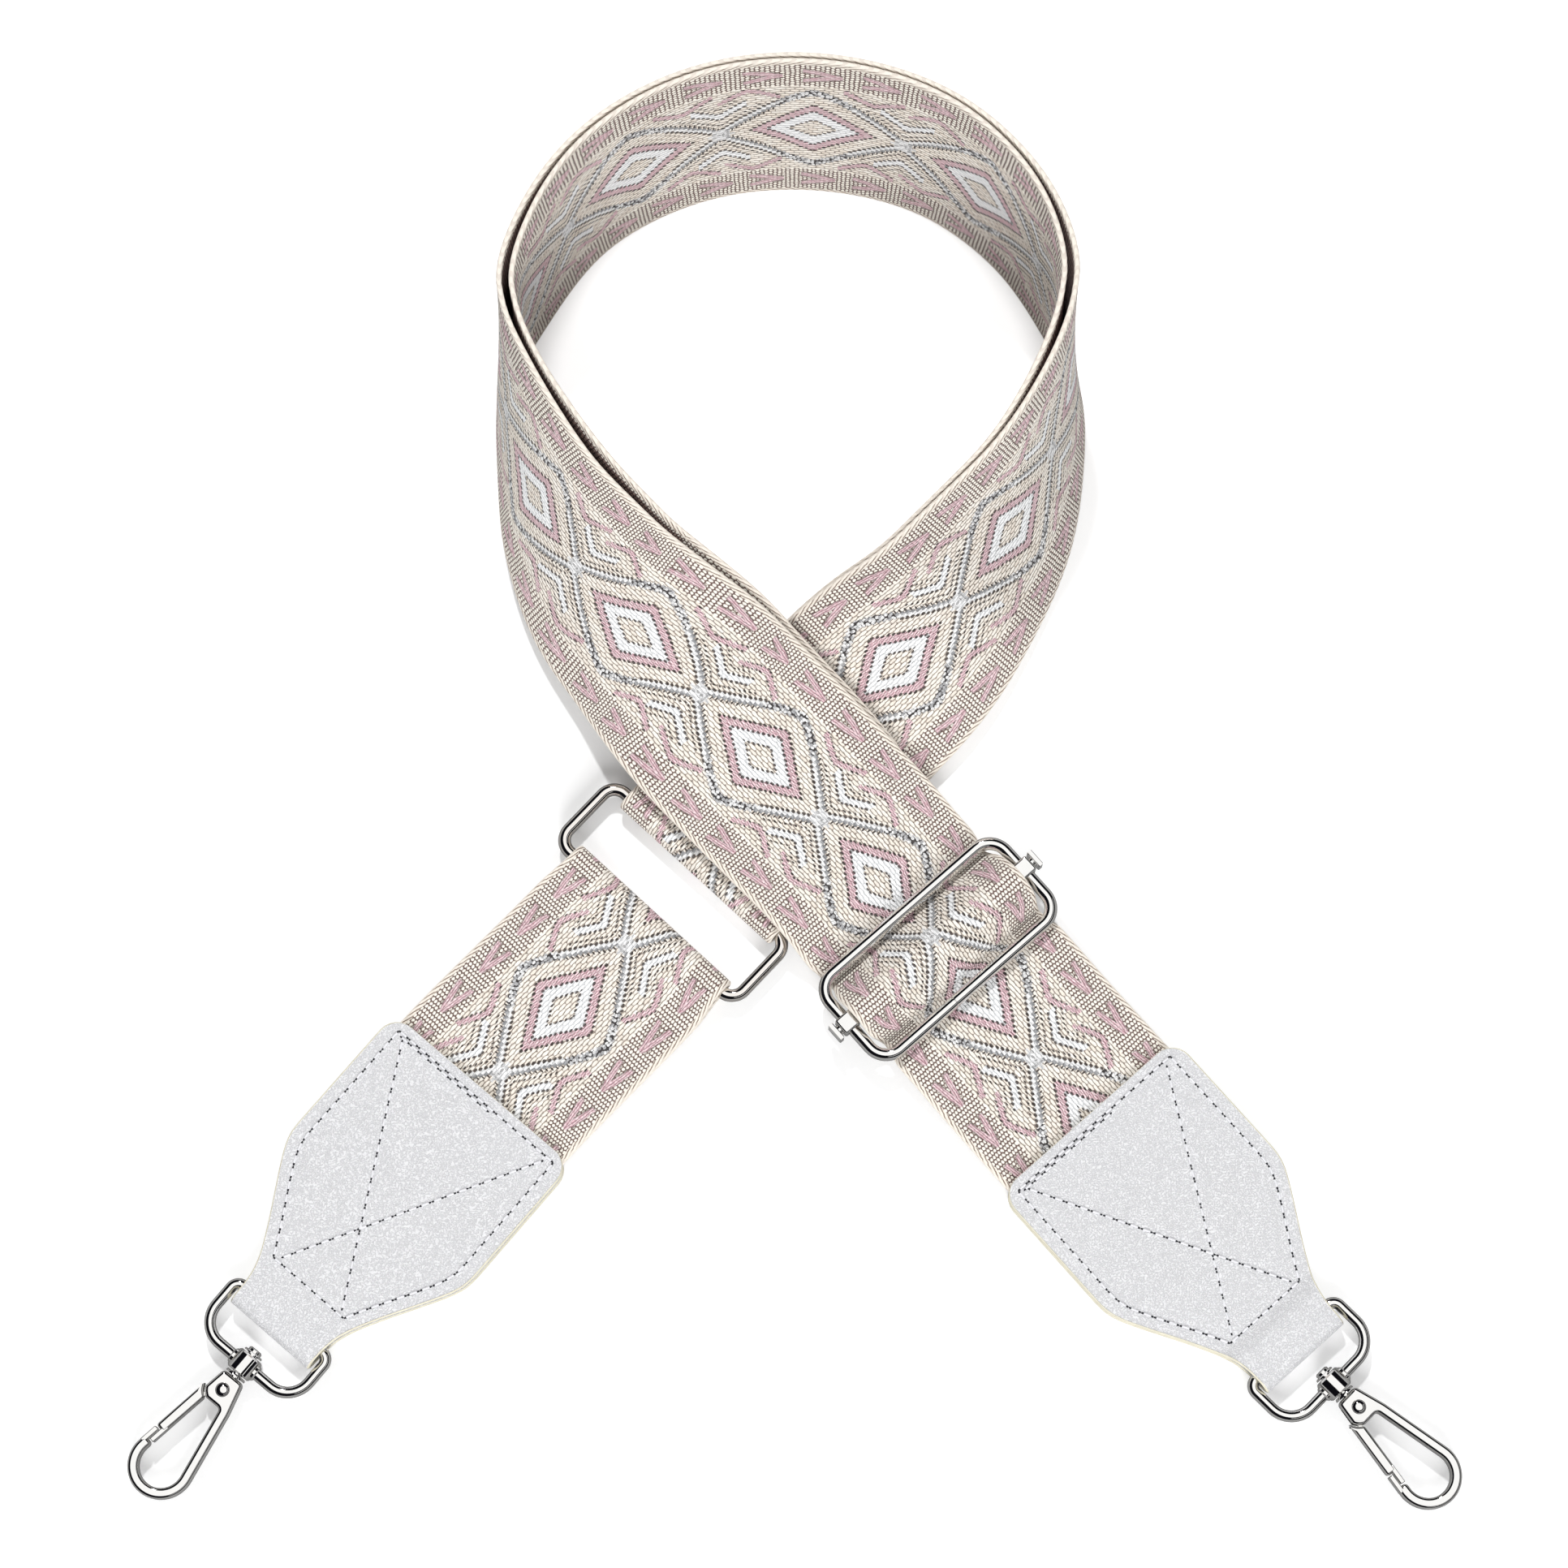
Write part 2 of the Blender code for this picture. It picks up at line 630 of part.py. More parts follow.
def slider(travel_frame):
    """The wire frame and the crossbar whose ends ride on the frame's side wires."""
    half_x = (SLIDER_OUTER_DEPTH - SLIDER_WIRE) / 2
    half_y = (SLIDER_OUTER_LENGTH - SLIDER_WIRE) / 2
    shift_frame = empty("crossbar_shift_frame", travel_frame, (SLIDER_FRAME_OFFSET, 0.0, 0.0))
    outline = loop_outline(half_x, half_y, SLIDER_CORNER)
    look = metal_material("slider_frame")
    wire("slider_frame", outline, SLIDER_WIRE / 2, look, shift_frame, cyclic=True)
    bore = SLIDER_WIRE / 2 + RUNNING_GAP
    sleeve = bore + SLEEVE_WALL
    stud = half_y + sleeve + STUD_REACH
    profile = [(-stud, 0.0), (-stud, STUD_RADIUS), (stud, STUD_RADIUS), (stud, 0.0)]
    bar = turned("slider_crossbar", profile, metal_material("slider_crossbar"), travel_frame)
    bar.rotation_euler = (0.0, -math.pi / 2, math.pi / 2)
    along = Matrix.Rotation(math.pi / 2, 4, "Y")
    for side in (-1, 1):
        place = Matrix.Translation((0.0, side * half_y, 0.0)) @ along
        combine(bar, round_tool(f"sleeve_{side}", sleeve, SLEEVE_LENGTH, place, travel_frame), "UNION")
    for side in (-1, 1):
        place = Matrix.Translation((0.0, side * half_y, 0.0)) @ along
        length = SLEEVE_LENGTH + CUT_OVERRUN
        combine(bar, round_tool(f"sleeve_bore_{side}", bore, length, place, travel_frame), "DIFFERENCE")
    return bar


def tab_half_width(x):
    """Half width of a tab, x from its top edge along the folded leather."""
    if x < TAB_CORNER:
        return TAB_HALF - TAB_CORNER + math.sqrt(max(0.0, TAB_CORNER**2 - (TAB_CORNER - x) ** 2))
    share = x / TAB_LENGTH
    rows = TAB_OUTLINE_SHARES
    if share <= rows[0][0]:
        return TAB_HALF
    for (low, wide), (high, narrow) in zip(rows, rows[1:]):
        if share <= high:
            part = wide + (narrow - wide) * (share - low) / (high - low)
            return NECK_HALF + (TAB_HALF - NECK_HALF) * part
    return NECK_HALF


def tab_top_height(plies):
    """Height of the front leather's middle over the given number of webbing plies."""
    return LEATHER_THICKNESS * 1.5 + RUNNING_GAP + plies * PLY_PITCH


def tab_leather(name, plies, parent):
    """One piece of leather, folded round the swivel eye's bar at the tab's narrow end."""
    pocket_start = TAB_LENGTH - TAB_POCKET
    fold_start = TAB_LENGTH - LEATHER_THICKNESS / 2 - POCKET_RADIUS
    places = [TAB_CORNER * (1 - math.cos(math.radians(a))) for a in (12, 35, 60, 90)]
    places += [share * TAB_LENGTH for share, _ in TAB_OUTLINE_SHARES if share * TAB_LENGTH < pocket_start]
    places += [pocket_start, pocket_start + POCKET_RISE / 2, pocket_start + POCKET_RISE, fold_start]

    def run(flat, pocket):
        heights = []
        for x in places:
            rise = smoothstep((x - pocket_start) / POCKET_RISE)
            heights.append((x, flat + (pocket - flat) * rise))
        return heights

    front = run(tab_top_height(plies), CLASP_HEIGHT + POCKET_RADIUS)
    back = run(LEATHER_THICKNESS / 2, CLASP_HEIGHT - POCKET_RADIUS)
    turn = arc(fold_start, CLASP_HEIGHT, POCKET_RADIUS, 90, -90, FOLD_STEPS)[1:-1]
    profile = front + turn + list(reversed(back))
    stations = level_stations(profile, tab_half_width)
    return ribbon(name, stations, LEATHER_THICKNESS, leather_material(name), parent)


def tab_threads(side, plies, parent):
    """The seam round the tab and the cross sewn inside it."""
    height = tab_top_height(plies) + LEATHER_THICKNESS / 2 + RUNNING_GAP + THREAD_RADIUS
    low = SEAM_TOP_INSET
    high = TAB_LENGTH - TAB_POCKET
    shares = [share * TAB_LENGTH for share, _ in TAB_OUTLINE_SHARES if share * TAB_LENGTH < high]
    right = [(x, tab_half_width(x) - SEAM_INSET) for x in [low, *shares, high]]
    right[0] = (low, TAB_HALF - SEAM_INSET)
    ring = right + [(x, -y) for x, y in reversed(right)]
    name = f"{side}_tab_seam_thread"
    points = [(x, y, height) for x, y in ring]
    wire(name, points, THREAD_RADIUS, thread_material(name), parent, cyclic=True, resolution=1)
    top = (low + SEAM_SPACING, TAB_HALF - SEAM_INSET - SEAM_SPACING * 2)
    foot = (high - SEAM_SPACING, right[-1][1] - SEAM_SPACING * 1.5)
    share = top[1] / (top[1] + foot[1])
    centre = top[0] + (foot[0] - top[0]) * share
    slope = (top[1] + foot[1]) / (foot[0] - top[0])
    near, far = centre - THREAD_HUMP_REACH, centre + THREAD_HUMP_REACH
    path = [
        (top[0], -top[1], height),
        (foot[0], foot[1], height),
        (foot[0], -foot[1], height),
        (far, -THREAD_HUMP_REACH * slope, height),
        (centre, 0.0, height + THREAD_HUMP),
        (near, THREAD_HUMP_REACH * slope, height),
        (top[0], top[1], height),
    ]
    name = f"{side}_tab_cross_thread"
    wire(name, path, THREAD_RADIUS, thread_material(name), parent, resolution=1)


def swivel_eye(side, parent):
    """The flattened ring in the tab's fold, with the hub that holds the swivel post."""
    points = two_corner_outline(0.0, EYE_DEPTH, EYE_HALF, EYE_BAR_CORNER, EYE_HOOK_CORNER, 7)
    name = f"{side}_swivel_eye"
    eye = to_mesh(wire(name, points, EYE_WIRE / 2, metal_material(name), parent, cyclic=True))
    along = Matrix.Translation((EYE_DEPTH, 0.0, 0.0)) @ Matrix.Rotation(math.pi / 2, 4, "Y")
    combine(eye, round_tool(f"{side}_hub", HUB_RADIUS, HUB_LENGTH, along, parent), "UNION")
    bore = POST_RADIUS + RUNNING_GAP
    length = HUB_LENGTH + CUT_OVERRUN
    combine(eye, round_tool(f"{side}_hub_bore", bore, length, along, parent), "DIFFERENCE")


def swivel_post(side, parent):
    """A headed post through the hub, with a shoulder and a tail that is set in the hook's neck."""
    head = -HUB_LENGTH / 2 - RUNNING_GAP
    shoulder = HUB_LENGTH / 2 + RUNNING_GAP
    face = shoulder + POST_SHOULDER_HEIGHT
    tip = HOOK_START + POST_TAIL_LENGTH
    crown = head - POST_HEAD_HEIGHT
    profile = [
        (crown, 0.0),
        (crown, POST_HEAD_RADIUS * 0.7),
        (crown + POST_HEAD_HEIGHT * 0.3, POST_HEAD_RADIUS),
        (head, POST_HEAD_RADIUS),
        (head, POST_RADIUS),
        (shoulder, POST_RADIUS),
        (shoulder, POST_SHOULDER_RADIUS),
        (face, POST_SHOULDER_RADIUS),
        (face, POST_TAIL_RADIUS),
        (tip, POST_TAIL_RADIUS),
        (tip, 0.0),
    ]
    name = f"{side}_swivel_post"
    turned(name, profile, metal_material(name), parent, steps=16)


def arm_point(side, distance, offset):
    """A point of the hook's straight arm: side 1 is the spine, -1 the gate. Offset is outward."""
    angle = math.radians(HOOK_ARM_ANGLE)
    x = HOOK_ARM_START + distance * math.cos(angle) - offset * math.sin(angle)
    y = HOOK_ARM_OFFSET + distance * math.sin(angle) + offset * math.cos(angle)
    return (x, side * y)


def nose_radius():
    """Radius of the nose's middle line, tangent to both arms."""
    angle = math.radians(HOOK_ARM_ANGLE)
    reach = HOOK_NOSE_DISTANCE - HOOK_ARM_START
    return reach * math.sin(angle) + HOOK_ARM_OFFSET * math.cos(angle)


def hook_outline():
    half = HOOK_BAND / 2
    turn = 90 + HOOK_ARM_ANGLE
    radius = nose_radius()
    outline = [(HOOK_START, -HOOK_NECK_HALF), (HOOK_START, HOOK_NECK_HALF), arm_point(1, 0.0, half)]
    outline += arc(HOOK_NOSE_DISTANCE, 0.0, radius + half, turn, -turn, NOSE_FACETS + 5)
    lip = RUNNING_GAP / 2
    notch = TONGUE_DISTANCE + RUNNING_GAP
    outline += [
        arm_point(-1, LIP_DISTANCE, half),
        arm_point(-1, LIP_DISTANCE, lip),
        arm_point(-1, notch, lip),
        arm_point(-1, notch, -half),
    ]
    outline += arc(HOOK_NOSE_DISTANCE, 0.0, radius - half, -turn, turn, NOSE_FACETS)
    inner_x, inner_y = arm_point(1, 0.0, -half)
    start = math.degrees(math.asin(min(1.0, inner_y / HOOK_CHEEK_RADIUS)))
    outline += [(inner_x, inner_y)]
    outline += arc(HOOK_PIN_DISTANCE, 0.0, HOOK_CHEEK_RADIUS, start, HOOK_CHEEK_END_ANGLE, 8)
    return outline


def hook(side, parent):
    name = f"{side}_hook_body"
    body = to_mesh(plate(name, hook_outline(), HOOK_THICKNESS / 2, metal_material(name), parent))
    low = (SLOT_START, -SLOT_REACH, -SLOT_HEIGHT / 2)
    high = (HOOK_PIN_DISTANCE + HOOK_CHEEK_RADIUS + CUT_OVERRUN, SLOT_WALL_OFFSET, SLOT_HEIGHT / 2)
    combine(body, box_tool(f"{side}_gate_slot", low, high, parent), "DIFFERENCE")
    place = Matrix.Translation((HOOK_PIN_DISTANCE, 0.0, 0.0))
    bore = PIN_RADIUS + RUNNING_GAP
    length = HOOK_THICKNESS + CUT_OVERRUN
    combine(body, round_tool(f"{side}_pin_bore", bore, length, place, parent), "DIFFERENCE")
    depth = SLOT_START - HOOK_START + CUT_OVERRUN
    middle = (SLOT_START + HOOK_START) / 2
    along = Matrix.Translation((middle, 0.0, 0.0)) @ Matrix.Rotation(math.pi / 2, 4, "Y")
    bore = POST_TAIL_RADIUS + RUNNING_GAP
    combine(body, round_tool(f"{side}_tail_bore", bore, depth, along, parent, 16), "DIFFERENCE")


def gate_outline():
    """The gate's bar, from the pin's side to the tongue that laps inside the nose's lip."""
    half = HOOK_BAND / 2
    shoulder = LIP_DISTANCE - RUNNING_GAP
    root = -GATE_ROOT_SETBACK
    return [
        arm_point(-1, root, half),
        arm_point(-1, shoulder, half),
        arm_point(-1, shoulder, -RUNNING_GAP / 2),
        arm_point(-1, TONGUE_DISTANCE, -RUNNING_GAP / 2),
        arm_point(-1, TONGUE_DISTANCE, -half),
        arm_point(-1, root, -half),
    ]


def gate(side, parent):
    """The sprung gate. Its frame stands on the pin, so points are moved back by the pin's place."""
    name = f"{side}_gate"
    outline = [(x - HOOK_PIN_DISTANCE, y) for x, y in gate_outline()]
    bar = to_mesh(plate(name, outline, GATE_THICKNESS / 2, metal_material(name), parent))
    root_x, root_y = arm_point(-1, HOOK_BAND / 2, 0.0)
    reach = Vector((root_x - HOOK_PIN_DISTANCE, root_y, 0.0))
    turn = Matrix.Rotation(math.atan2(reach.y, reach.x), 4, "Z")
    work = bmesh.new()
    bmesh.ops.create_cube(work, size=1.0)
    size = (reach.length, GATE_ARM_WIDTH, GATE_LUG_THICKNESS, 1.0)
    place = Matrix.Translation(reach / 2) @ turn @ Matrix.Diagonal(size)
    combine(bar, primitive(f"{side}_gate_arm", work, place, parent), "UNION")
    still = Matrix.Identity(4)
    eye = round_tool(f"{side}_gate_eye", GATE_EYE_RADIUS, GATE_LUG_THICKNESS, still, parent)
    combine(bar, eye, "UNION")
    bore = PIN_RADIUS + RUNNING_GAP
    length = GATE_LUG_THICKNESS + CUT_OVERRUN
    combine(bar, round_tool(f"{side}_gate_bore", bore, length, still, parent), "DIFFERENCE")


def gate_pin(side, parent):
    """The domed rivet that the gate turns on."""
    seat = HOOK_THICKNESS / 2 + PIN_SEAT_GAP
    dome = []
    for degrees in (0, 30, 60, 90):
        angle = math.radians(degrees)
        dome.append((seat + PIN_DOME_HEIGHT * math.cos(angle), PIN_DOME_RADIUS * math.sin(angle)))
    foot = -seat - PIN_FOOT_HEIGHT
    profile = dome + [(seat, PIN_RADIUS), (-seat, PIN_RADIUS), (-seat, PIN_FOOT_RADIUS)]
    profile += [(foot, PIN_FOOT_RADIUS), (foot, 0.0)]
    name = f"{side}_gate_pin"
    pin = turned(name, [(-along, radius) for along, radius in profile], metal_material(name), parent, 16)
    pin.rotation_euler = (0.0, 0.0, 0.0)


def gate_spring(side, parent):
    """A bent wire in the slot that pushes the gate's arm shut."""
    name = f"{side}_gate_spring"
    points = [(x * SPRING_RUN_OFFSET, y * SPRING_RUN_OFFSET, 0.0) for x, y in SPRING_SHARES]
    wire(name, points, SPRING_WIRE / 2, metal_material(name), parent, resolution=1)


def strap_end(side, plies, tab_frame, skew, cant):
    """A tab with its seam, swivel eye, post, hook, gate, pin and spring."""
    tab_leather(f"{side}_tab_leather", plies, tab_frame)
    tab_threads(side, plies, tab_frame)
    eye_frame = empty(f"{side}_eye_frame", tab_frame, (EYE_BAR_DISTANCE, 0.0, CLASP_HEIGHT), skew)
    swivel_eye(side, eye_frame)
    hook_frame = empty(f"{side}_hook_frame", eye_frame, (EYE_DEPTH, 0.0, 0.0), cant)
    swivel_post(side, hook_frame)
    hook(side, hook_frame)
    pin_frame = empty(f"{side}_pin_frame", hook_frame, (HOOK_PIN_DISTANCE, 0.0, 0.0))
    gate(side, pin_frame)
    gate_pin(side, pin_frame)
    gate_spring(side, pin_frame)


def rest_on_origin(root):
    """Moves the strap so that its box stands on the origin."""
    bpy.context.view_layer.update()
    graph = bpy.context.evaluated_depsgraph_get()
    low = Vector((math.inf, math.inf, math.inf))
    high = -low
    for obj in PARTS.objects:
        if obj.type == "EMPTY":
            continue
        solid = obj.evaluated_get(graph)
        mesh = solid.to_mesh()
        for vertex in mesh.vertices:
            place = solid.matrix_world @ vertex.co
            low = Vector(map(min, low, place))
            high = Vector(map(max, high, place))
        solid.to_mesh_clear()
    root.location -= Vector(((low.x + high.x) / 2, (low.y + high.y) / 2, low.z))
    bpy.context.view_layer.update()


def build():
    root = empty("strap_frame", None, (0.0, 0.0, 0.0))
    folded_webbing("long_webbing", long_route(), root)
    rows, tab_top = short_route()
    folded_webbing("short_webbing", rows, root)

    far_bar = -heading(UNDER_LEG_HEADING) * FAR_BAR_DISTANCE
    ring_frame = empty("ring_frame", root, far_bar + UP * FOLD_HEIGHT, UNDER_LEG_HEADING + 180)
    empty("near_bar_frame", ring_frame, (RING_BAR_SPACING, 0.0, 0.0))
    half = (RING_OUTER_LENGTH - RING_WIRE) / 2
    outline = two_corner_outline(0.0, RING_BAR_SPACING, half, RING_CORNER, RING_CORNER)
    outline = [(x, y - RING_SIDE_SHIFT, z) for x, y, z in outline]
    look = metal_material("rectangle_ring")
    wire("rectangle_ring", outline, RING_WIRE / 2, look, ring_frame, cyclic=True)

    leg_frame = empty("end_leg_frame", root, (0.0, 0.0, 0.0), END_LEG_HEADING)
    end_webbing(leg_frame)
    travel_frame = empty("slider_frame_axis", leg_frame, (SLIDER_DISTANCE, 0.0, SLIDER_PLANE))
    through_webbing(travel_frame)
    anchor_fold(travel_frame)
    slider(travel_frame)

    right_frame = empty("right_tab_frame", leg_frame, (END_LEG_LENGTH, 0.0, 0.0))
    strap_end("right", 1, right_frame, RIGHT_EYE_SKEW, RIGHT_POST_CANT)
    left_frame = empty("left_tab_frame", root, tab_top, LEFT_TAB_HEADING)
    strap_end("left", 2, left_frame, LEFT_EYE_SKEW, LEFT_POST_CANT)

    for obj in PARTS.objects:
        if obj.type == "MESH":
            shade_round(obj)
    rest_on_origin(root)


build()
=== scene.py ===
"""Looks for the detachable bag strap: woven webbing, white leather tabs and bright plated hardware."""

import math

import bmesh
import bpy
import numpy as np
from mathutils import Matrix, Vector


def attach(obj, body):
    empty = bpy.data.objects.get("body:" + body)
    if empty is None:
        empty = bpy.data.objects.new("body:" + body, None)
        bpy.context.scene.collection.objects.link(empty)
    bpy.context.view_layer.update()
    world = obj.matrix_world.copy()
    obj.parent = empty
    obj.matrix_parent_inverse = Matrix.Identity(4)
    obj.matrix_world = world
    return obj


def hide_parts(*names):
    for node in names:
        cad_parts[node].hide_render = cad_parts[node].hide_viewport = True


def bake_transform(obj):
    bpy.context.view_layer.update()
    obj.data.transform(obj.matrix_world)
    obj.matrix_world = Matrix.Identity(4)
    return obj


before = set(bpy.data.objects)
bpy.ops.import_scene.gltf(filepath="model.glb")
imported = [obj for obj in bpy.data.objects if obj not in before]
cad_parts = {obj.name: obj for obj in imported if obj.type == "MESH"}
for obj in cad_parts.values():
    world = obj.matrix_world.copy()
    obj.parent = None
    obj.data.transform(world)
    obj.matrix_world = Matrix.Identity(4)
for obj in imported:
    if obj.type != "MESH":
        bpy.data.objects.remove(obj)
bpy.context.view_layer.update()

UP = Vector((0.0, 0.0, 1.0))
ROOT = Vector((-0.002345, 0.002180, 0.000095))
IMAGE = 1932  # pixels, the photo's width
WHITE = (1.0, 1.0, 1.0, 1.0)

# Sizes of the model, in metres
GAP = 0.0003
WIDTH = 0.050
HALF = WIDTH / 2
THICK = 0.0013
DRAW_IN = 0.0011
PLY_SPREAD = 0.0014
PITCH = THICK + GAP
STACK_MIDDLE = THICK + GAP / 2
RING_WIRE = 0.0030
RING_WIDTH = 0.0588
RING_CORNER = 0.0038
RING_ASIDE = -0.0008
FOLD_RADIUS = RING_WIRE / 2 + 0.0004 + THICK / 2
FOLD_HEIGHT = FOLD_RADIUS + THICK / 2
EDGE_LIFT = 2 * FOLD_HEIGHT + GAP
CROSSING_HALF = HALF + 0.001
LOOP_LENGTH = 0.1553
UNDER_HEADING = 47.0
OVER_HEADING = -45.5
END_HEADING = -48.65
FAR_BAR = 0.0275
RING_SPACING = 0.0189
RING_FLARE = 0.011
END_LEG = 0.10505
SHORT_FREE = 0.0539
SHORT_DRIFT = 0.0007
LEFT_HEADING = 229.6
SLIDER_WIRE = 0.0030
SLIDER_WIDTH = 0.0573
SLIDER_CORNER = 0.0050
SLIDER_ASIDE = 0.0008
SLIDER_DISTANCE = 0.053
SLIDER_DEPTH = 0.0266
ANCHOR_START = 0.016
ANCHOR_TAIL = 0.013
THROUGH_END = 0.017
SLIDER_PLANE = 3 * PITCH + SLIDER_WIRE / 2
ANCHOR_RADIUS = SLIDER_WIRE / 2 + GAP + THICK / 2
UNDER_BAR_HEIGHT = 2 * PITCH + THICK / 2
THROUGH_RADIUS = ANCHOR_RADIUS + PITCH + GAP
THROUGH_REACH = (SLIDER_DEPTH - SLIDER_WIRE) / 2 - SLIDER_WIRE / 2 - GAP - 0.001
LEG_END_LEVEL = 0.0018
LEG_END_DESCENT = 0.018
LEATHER = 0.0013
TAB_LENGTH = 0.0735
TAB_HALF = HALF + 0.002
TAB_CORNER = 0.005
TAB_INSIDE = 0.034
TAB_POCKET = 0.0138
POCKET_RISE = 0.005
EYE_WIRE = 0.0027
EYE_WIDTH = 0.0304
EYE_HALF = (EYE_WIDTH - EYE_WIRE) / 2
EYE_LOW_CORNER = 0.0021
EYE_HIGH_CORNER = 0.0062
NECK_HALF = EYE_HALF - EYE_WIRE / 2 - 0.0007
HUB_RADIUS = 0.0032
HUB_LENGTH = 0.0050
HUB_EASE = 0.0004
HUB_BORE = 0.0016
CLASP_HEIGHT = HUB_RADIUS + 0.00005
POCKET_RADIUS = EYE_WIRE / 2 + GAP + LEATHER / 2
EYE_BAR = TAB_LENGTH - 0.0048
EYE_DEPTH = TAB_LENGTH + 0.0084 - EYE_BAR

# Roundings and stitches
SELVAGE_ROUND = 0.00055
SELVAGE_STEPS = (90, 62, 35, 12)
RIM_RADIUS = 0.0004
SEAM_INSET = 0.0035
STITCH_PITCH = 0.00302
STITCH_RADIUS = 0.00027
STITCH_SHARES = (0.0, 0.09, 0.18, 0.21, 0.35, 0.5, 0.65, 0.79, 0.82, 0.91, 1.0)

UNDER_ROWS = ((-0.5, 0.0), (0.0, 3.0), (0.5, 8.0), (1.0, 15.0))
OVER_ROWS = (
    (-1.0, 15.0, 1.0),
    (0.0, 5.0, 1.0),
    (0.5, 0.0, 1.0),
    (0.82, -1.8, 0.77),
    (1.0, -3.9, 0.49),
    (1.09, -5.0, 0.35),
    (1.19, -4.2, 0.27),
)
LOOP_ROWS = (
    (0.1372, 0.1404, 20.0, 0.0, 0.0),
    (0.1713, 0.1719, 28.0, 0.0, 0.0),
    (0.2048, 0.1996, 35.0, 0.0, 0.0),
    (0.2306, 0.2225, 40.0, 0.0, 0.0),
    (0.2793, 0.2840, 47.0, 0.0, 0.0),
    (0.3260, 0.3489, 54.5, 0.0, 0.1),
    (0.3657, 0.4153, 62.5, 0.0, 0.2),
    (0.3964, 0.4928, 71.0, 0.0, 0.5),
    (0.4198, 0.5789, 78.5, 0.0, 0.8),
    (0.4265, 0.6670, 87.5, 0.0, 1.0),
    (0.4180, 0.7230, 93.0, 0.0, 1.0),
    (0.3540, 0.8450, 99.0, 0.0, 0.4),
    (0.2250, 0.9530, 103.0, 0.0, 0.1),
    (0.0425, 1.0, 105.0, 0.0, 0.1),
    (-0.1420, 0.9755, 104.0, 0.0, 0.1),
    (-0.3030, 0.8760, 100.0, 0.0, 0.3),
    (-0.4070, 0.7006, 93.0, 0.0, 1.0),
    (-0.4117, 0.6158, 83.0, 0.0, 0.8),
    (-0.3922, 0.5411, 76.5, 0.0, 0.4),
    (-0.3580, 0.4575, 68.0, 0.0, 0.2),
    (-0.3209, 0.3770, 58.0, 0.0, 0.1),
    (-0.2813, 0.3082, 48.0, 0.12, 0.0),
    (-0.2502, 0.2588, 43.0, 0.28, 0.0),
    (-0.2282, 0.2360, 40.5, 0.38, 0.0),
    (-0.1941, 0.2024, 36.0, 0.55, 0.0),
    (-0.1603, 0.1681, 29.0, 0.74, 0.0),
    (-0.1333, 0.1429, 22.0, 0.88, 0.0),
)
TAB_SHARES = (
    (0.475, 1.0),
    (0.51, 0.97),
    (0.54, 0.90),
    (0.59, 0.77),
    (0.66, 0.57),
    (0.73, 0.37),
    (0.79, 0.21),
    (0.845, 0.08),
    (0.90, 0.01),
    (0.93, 0.0),
)


# ---- small helpers


def heading(degrees):
    angle = math.radians(degrees)
    return Vector((math.cos(angle), math.sin(angle), 0.0))


def smoothstep(value):
    share = min(1.0, max(0.0, value))
    return share * share * (3 - 2 * share)


def arc(centre_x, centre_y, radius, start, end, steps):
    points = []
    for step in range(steps + 1):
        angle = math.radians(start + (end - start) * step / steps)
        points.append((centre_x + radius * math.cos(angle), centre_y + radius * math.sin(angle)))
    return points


def spin(degrees, axis="Z"):
    return Matrix.Rotation(math.radians(degrees), 4, axis)


def move(x, y=0.0, z=0.0):
    return Matrix.Translation((x, y, z))


def frame_at(place, turn):
    return Matrix.Translation(place) @ spin(turn)


def circle(place, middle, first, second, radius, count, start=0.0):
    """Points round a circle in the plane of two directions."""
    made = []
    for a in range(count):
        angle = 2 * math.pi * a / count + start
        out = middle + first * (radius * math.cos(angle))
        made.append(place @ (out + second * (radius * math.sin(angle))))
    return made


def linked(name, data):
    obj = bpy.data.objects.new(name, data)
    bpy.context.scene.collection.objects.link(obj)
    return obj


def mesh_object(name, points, faces):
    mesh = bpy.data.meshes.new(name)
    mesh.from_pydata([tuple(point) for point in points], [], faces)
    return linked(name, mesh)


def clean(obj, sharp=38.0):
    """Faces turned outward and shaded smooth, apart from edges of more than this many degrees."""
    work = bmesh.new()
    work.from_mesh(obj.data)
    bmesh.ops.recalc_face_normals(work, faces=work.faces)
    work.to_mesh(obj.data)
    work.free()
    obj.data.shade_smooth()
    obj.data.set_sharp_from_angle(angle=math.radians(sharp))
    return obj


def skin(count, size, closed=False, base=0):
    """Faces over rings of points, with a cap at each end unless the last ring joins the first."""
    faces = []
    for i in range(count if closed else count - 1):
        here, there = base + i * size, base + (i + 1) % count * size
        for j in range(size):
            k = (j + 1) % size
            faces.append((here + j, here + k, there + k, there + j))
    if not closed:
        faces.append(tuple(reversed(range(base, base + size))))
        faces.append(tuple(base + (count - 1) * size + j for j in range(size)))
    return faces


def point_layer(obj, name, kind, key, values):
    layer = obj.data.attributes.new(name, kind, "POINT")
    layer.data.foreach_set(key, np.array(values, np.float32).ravel())


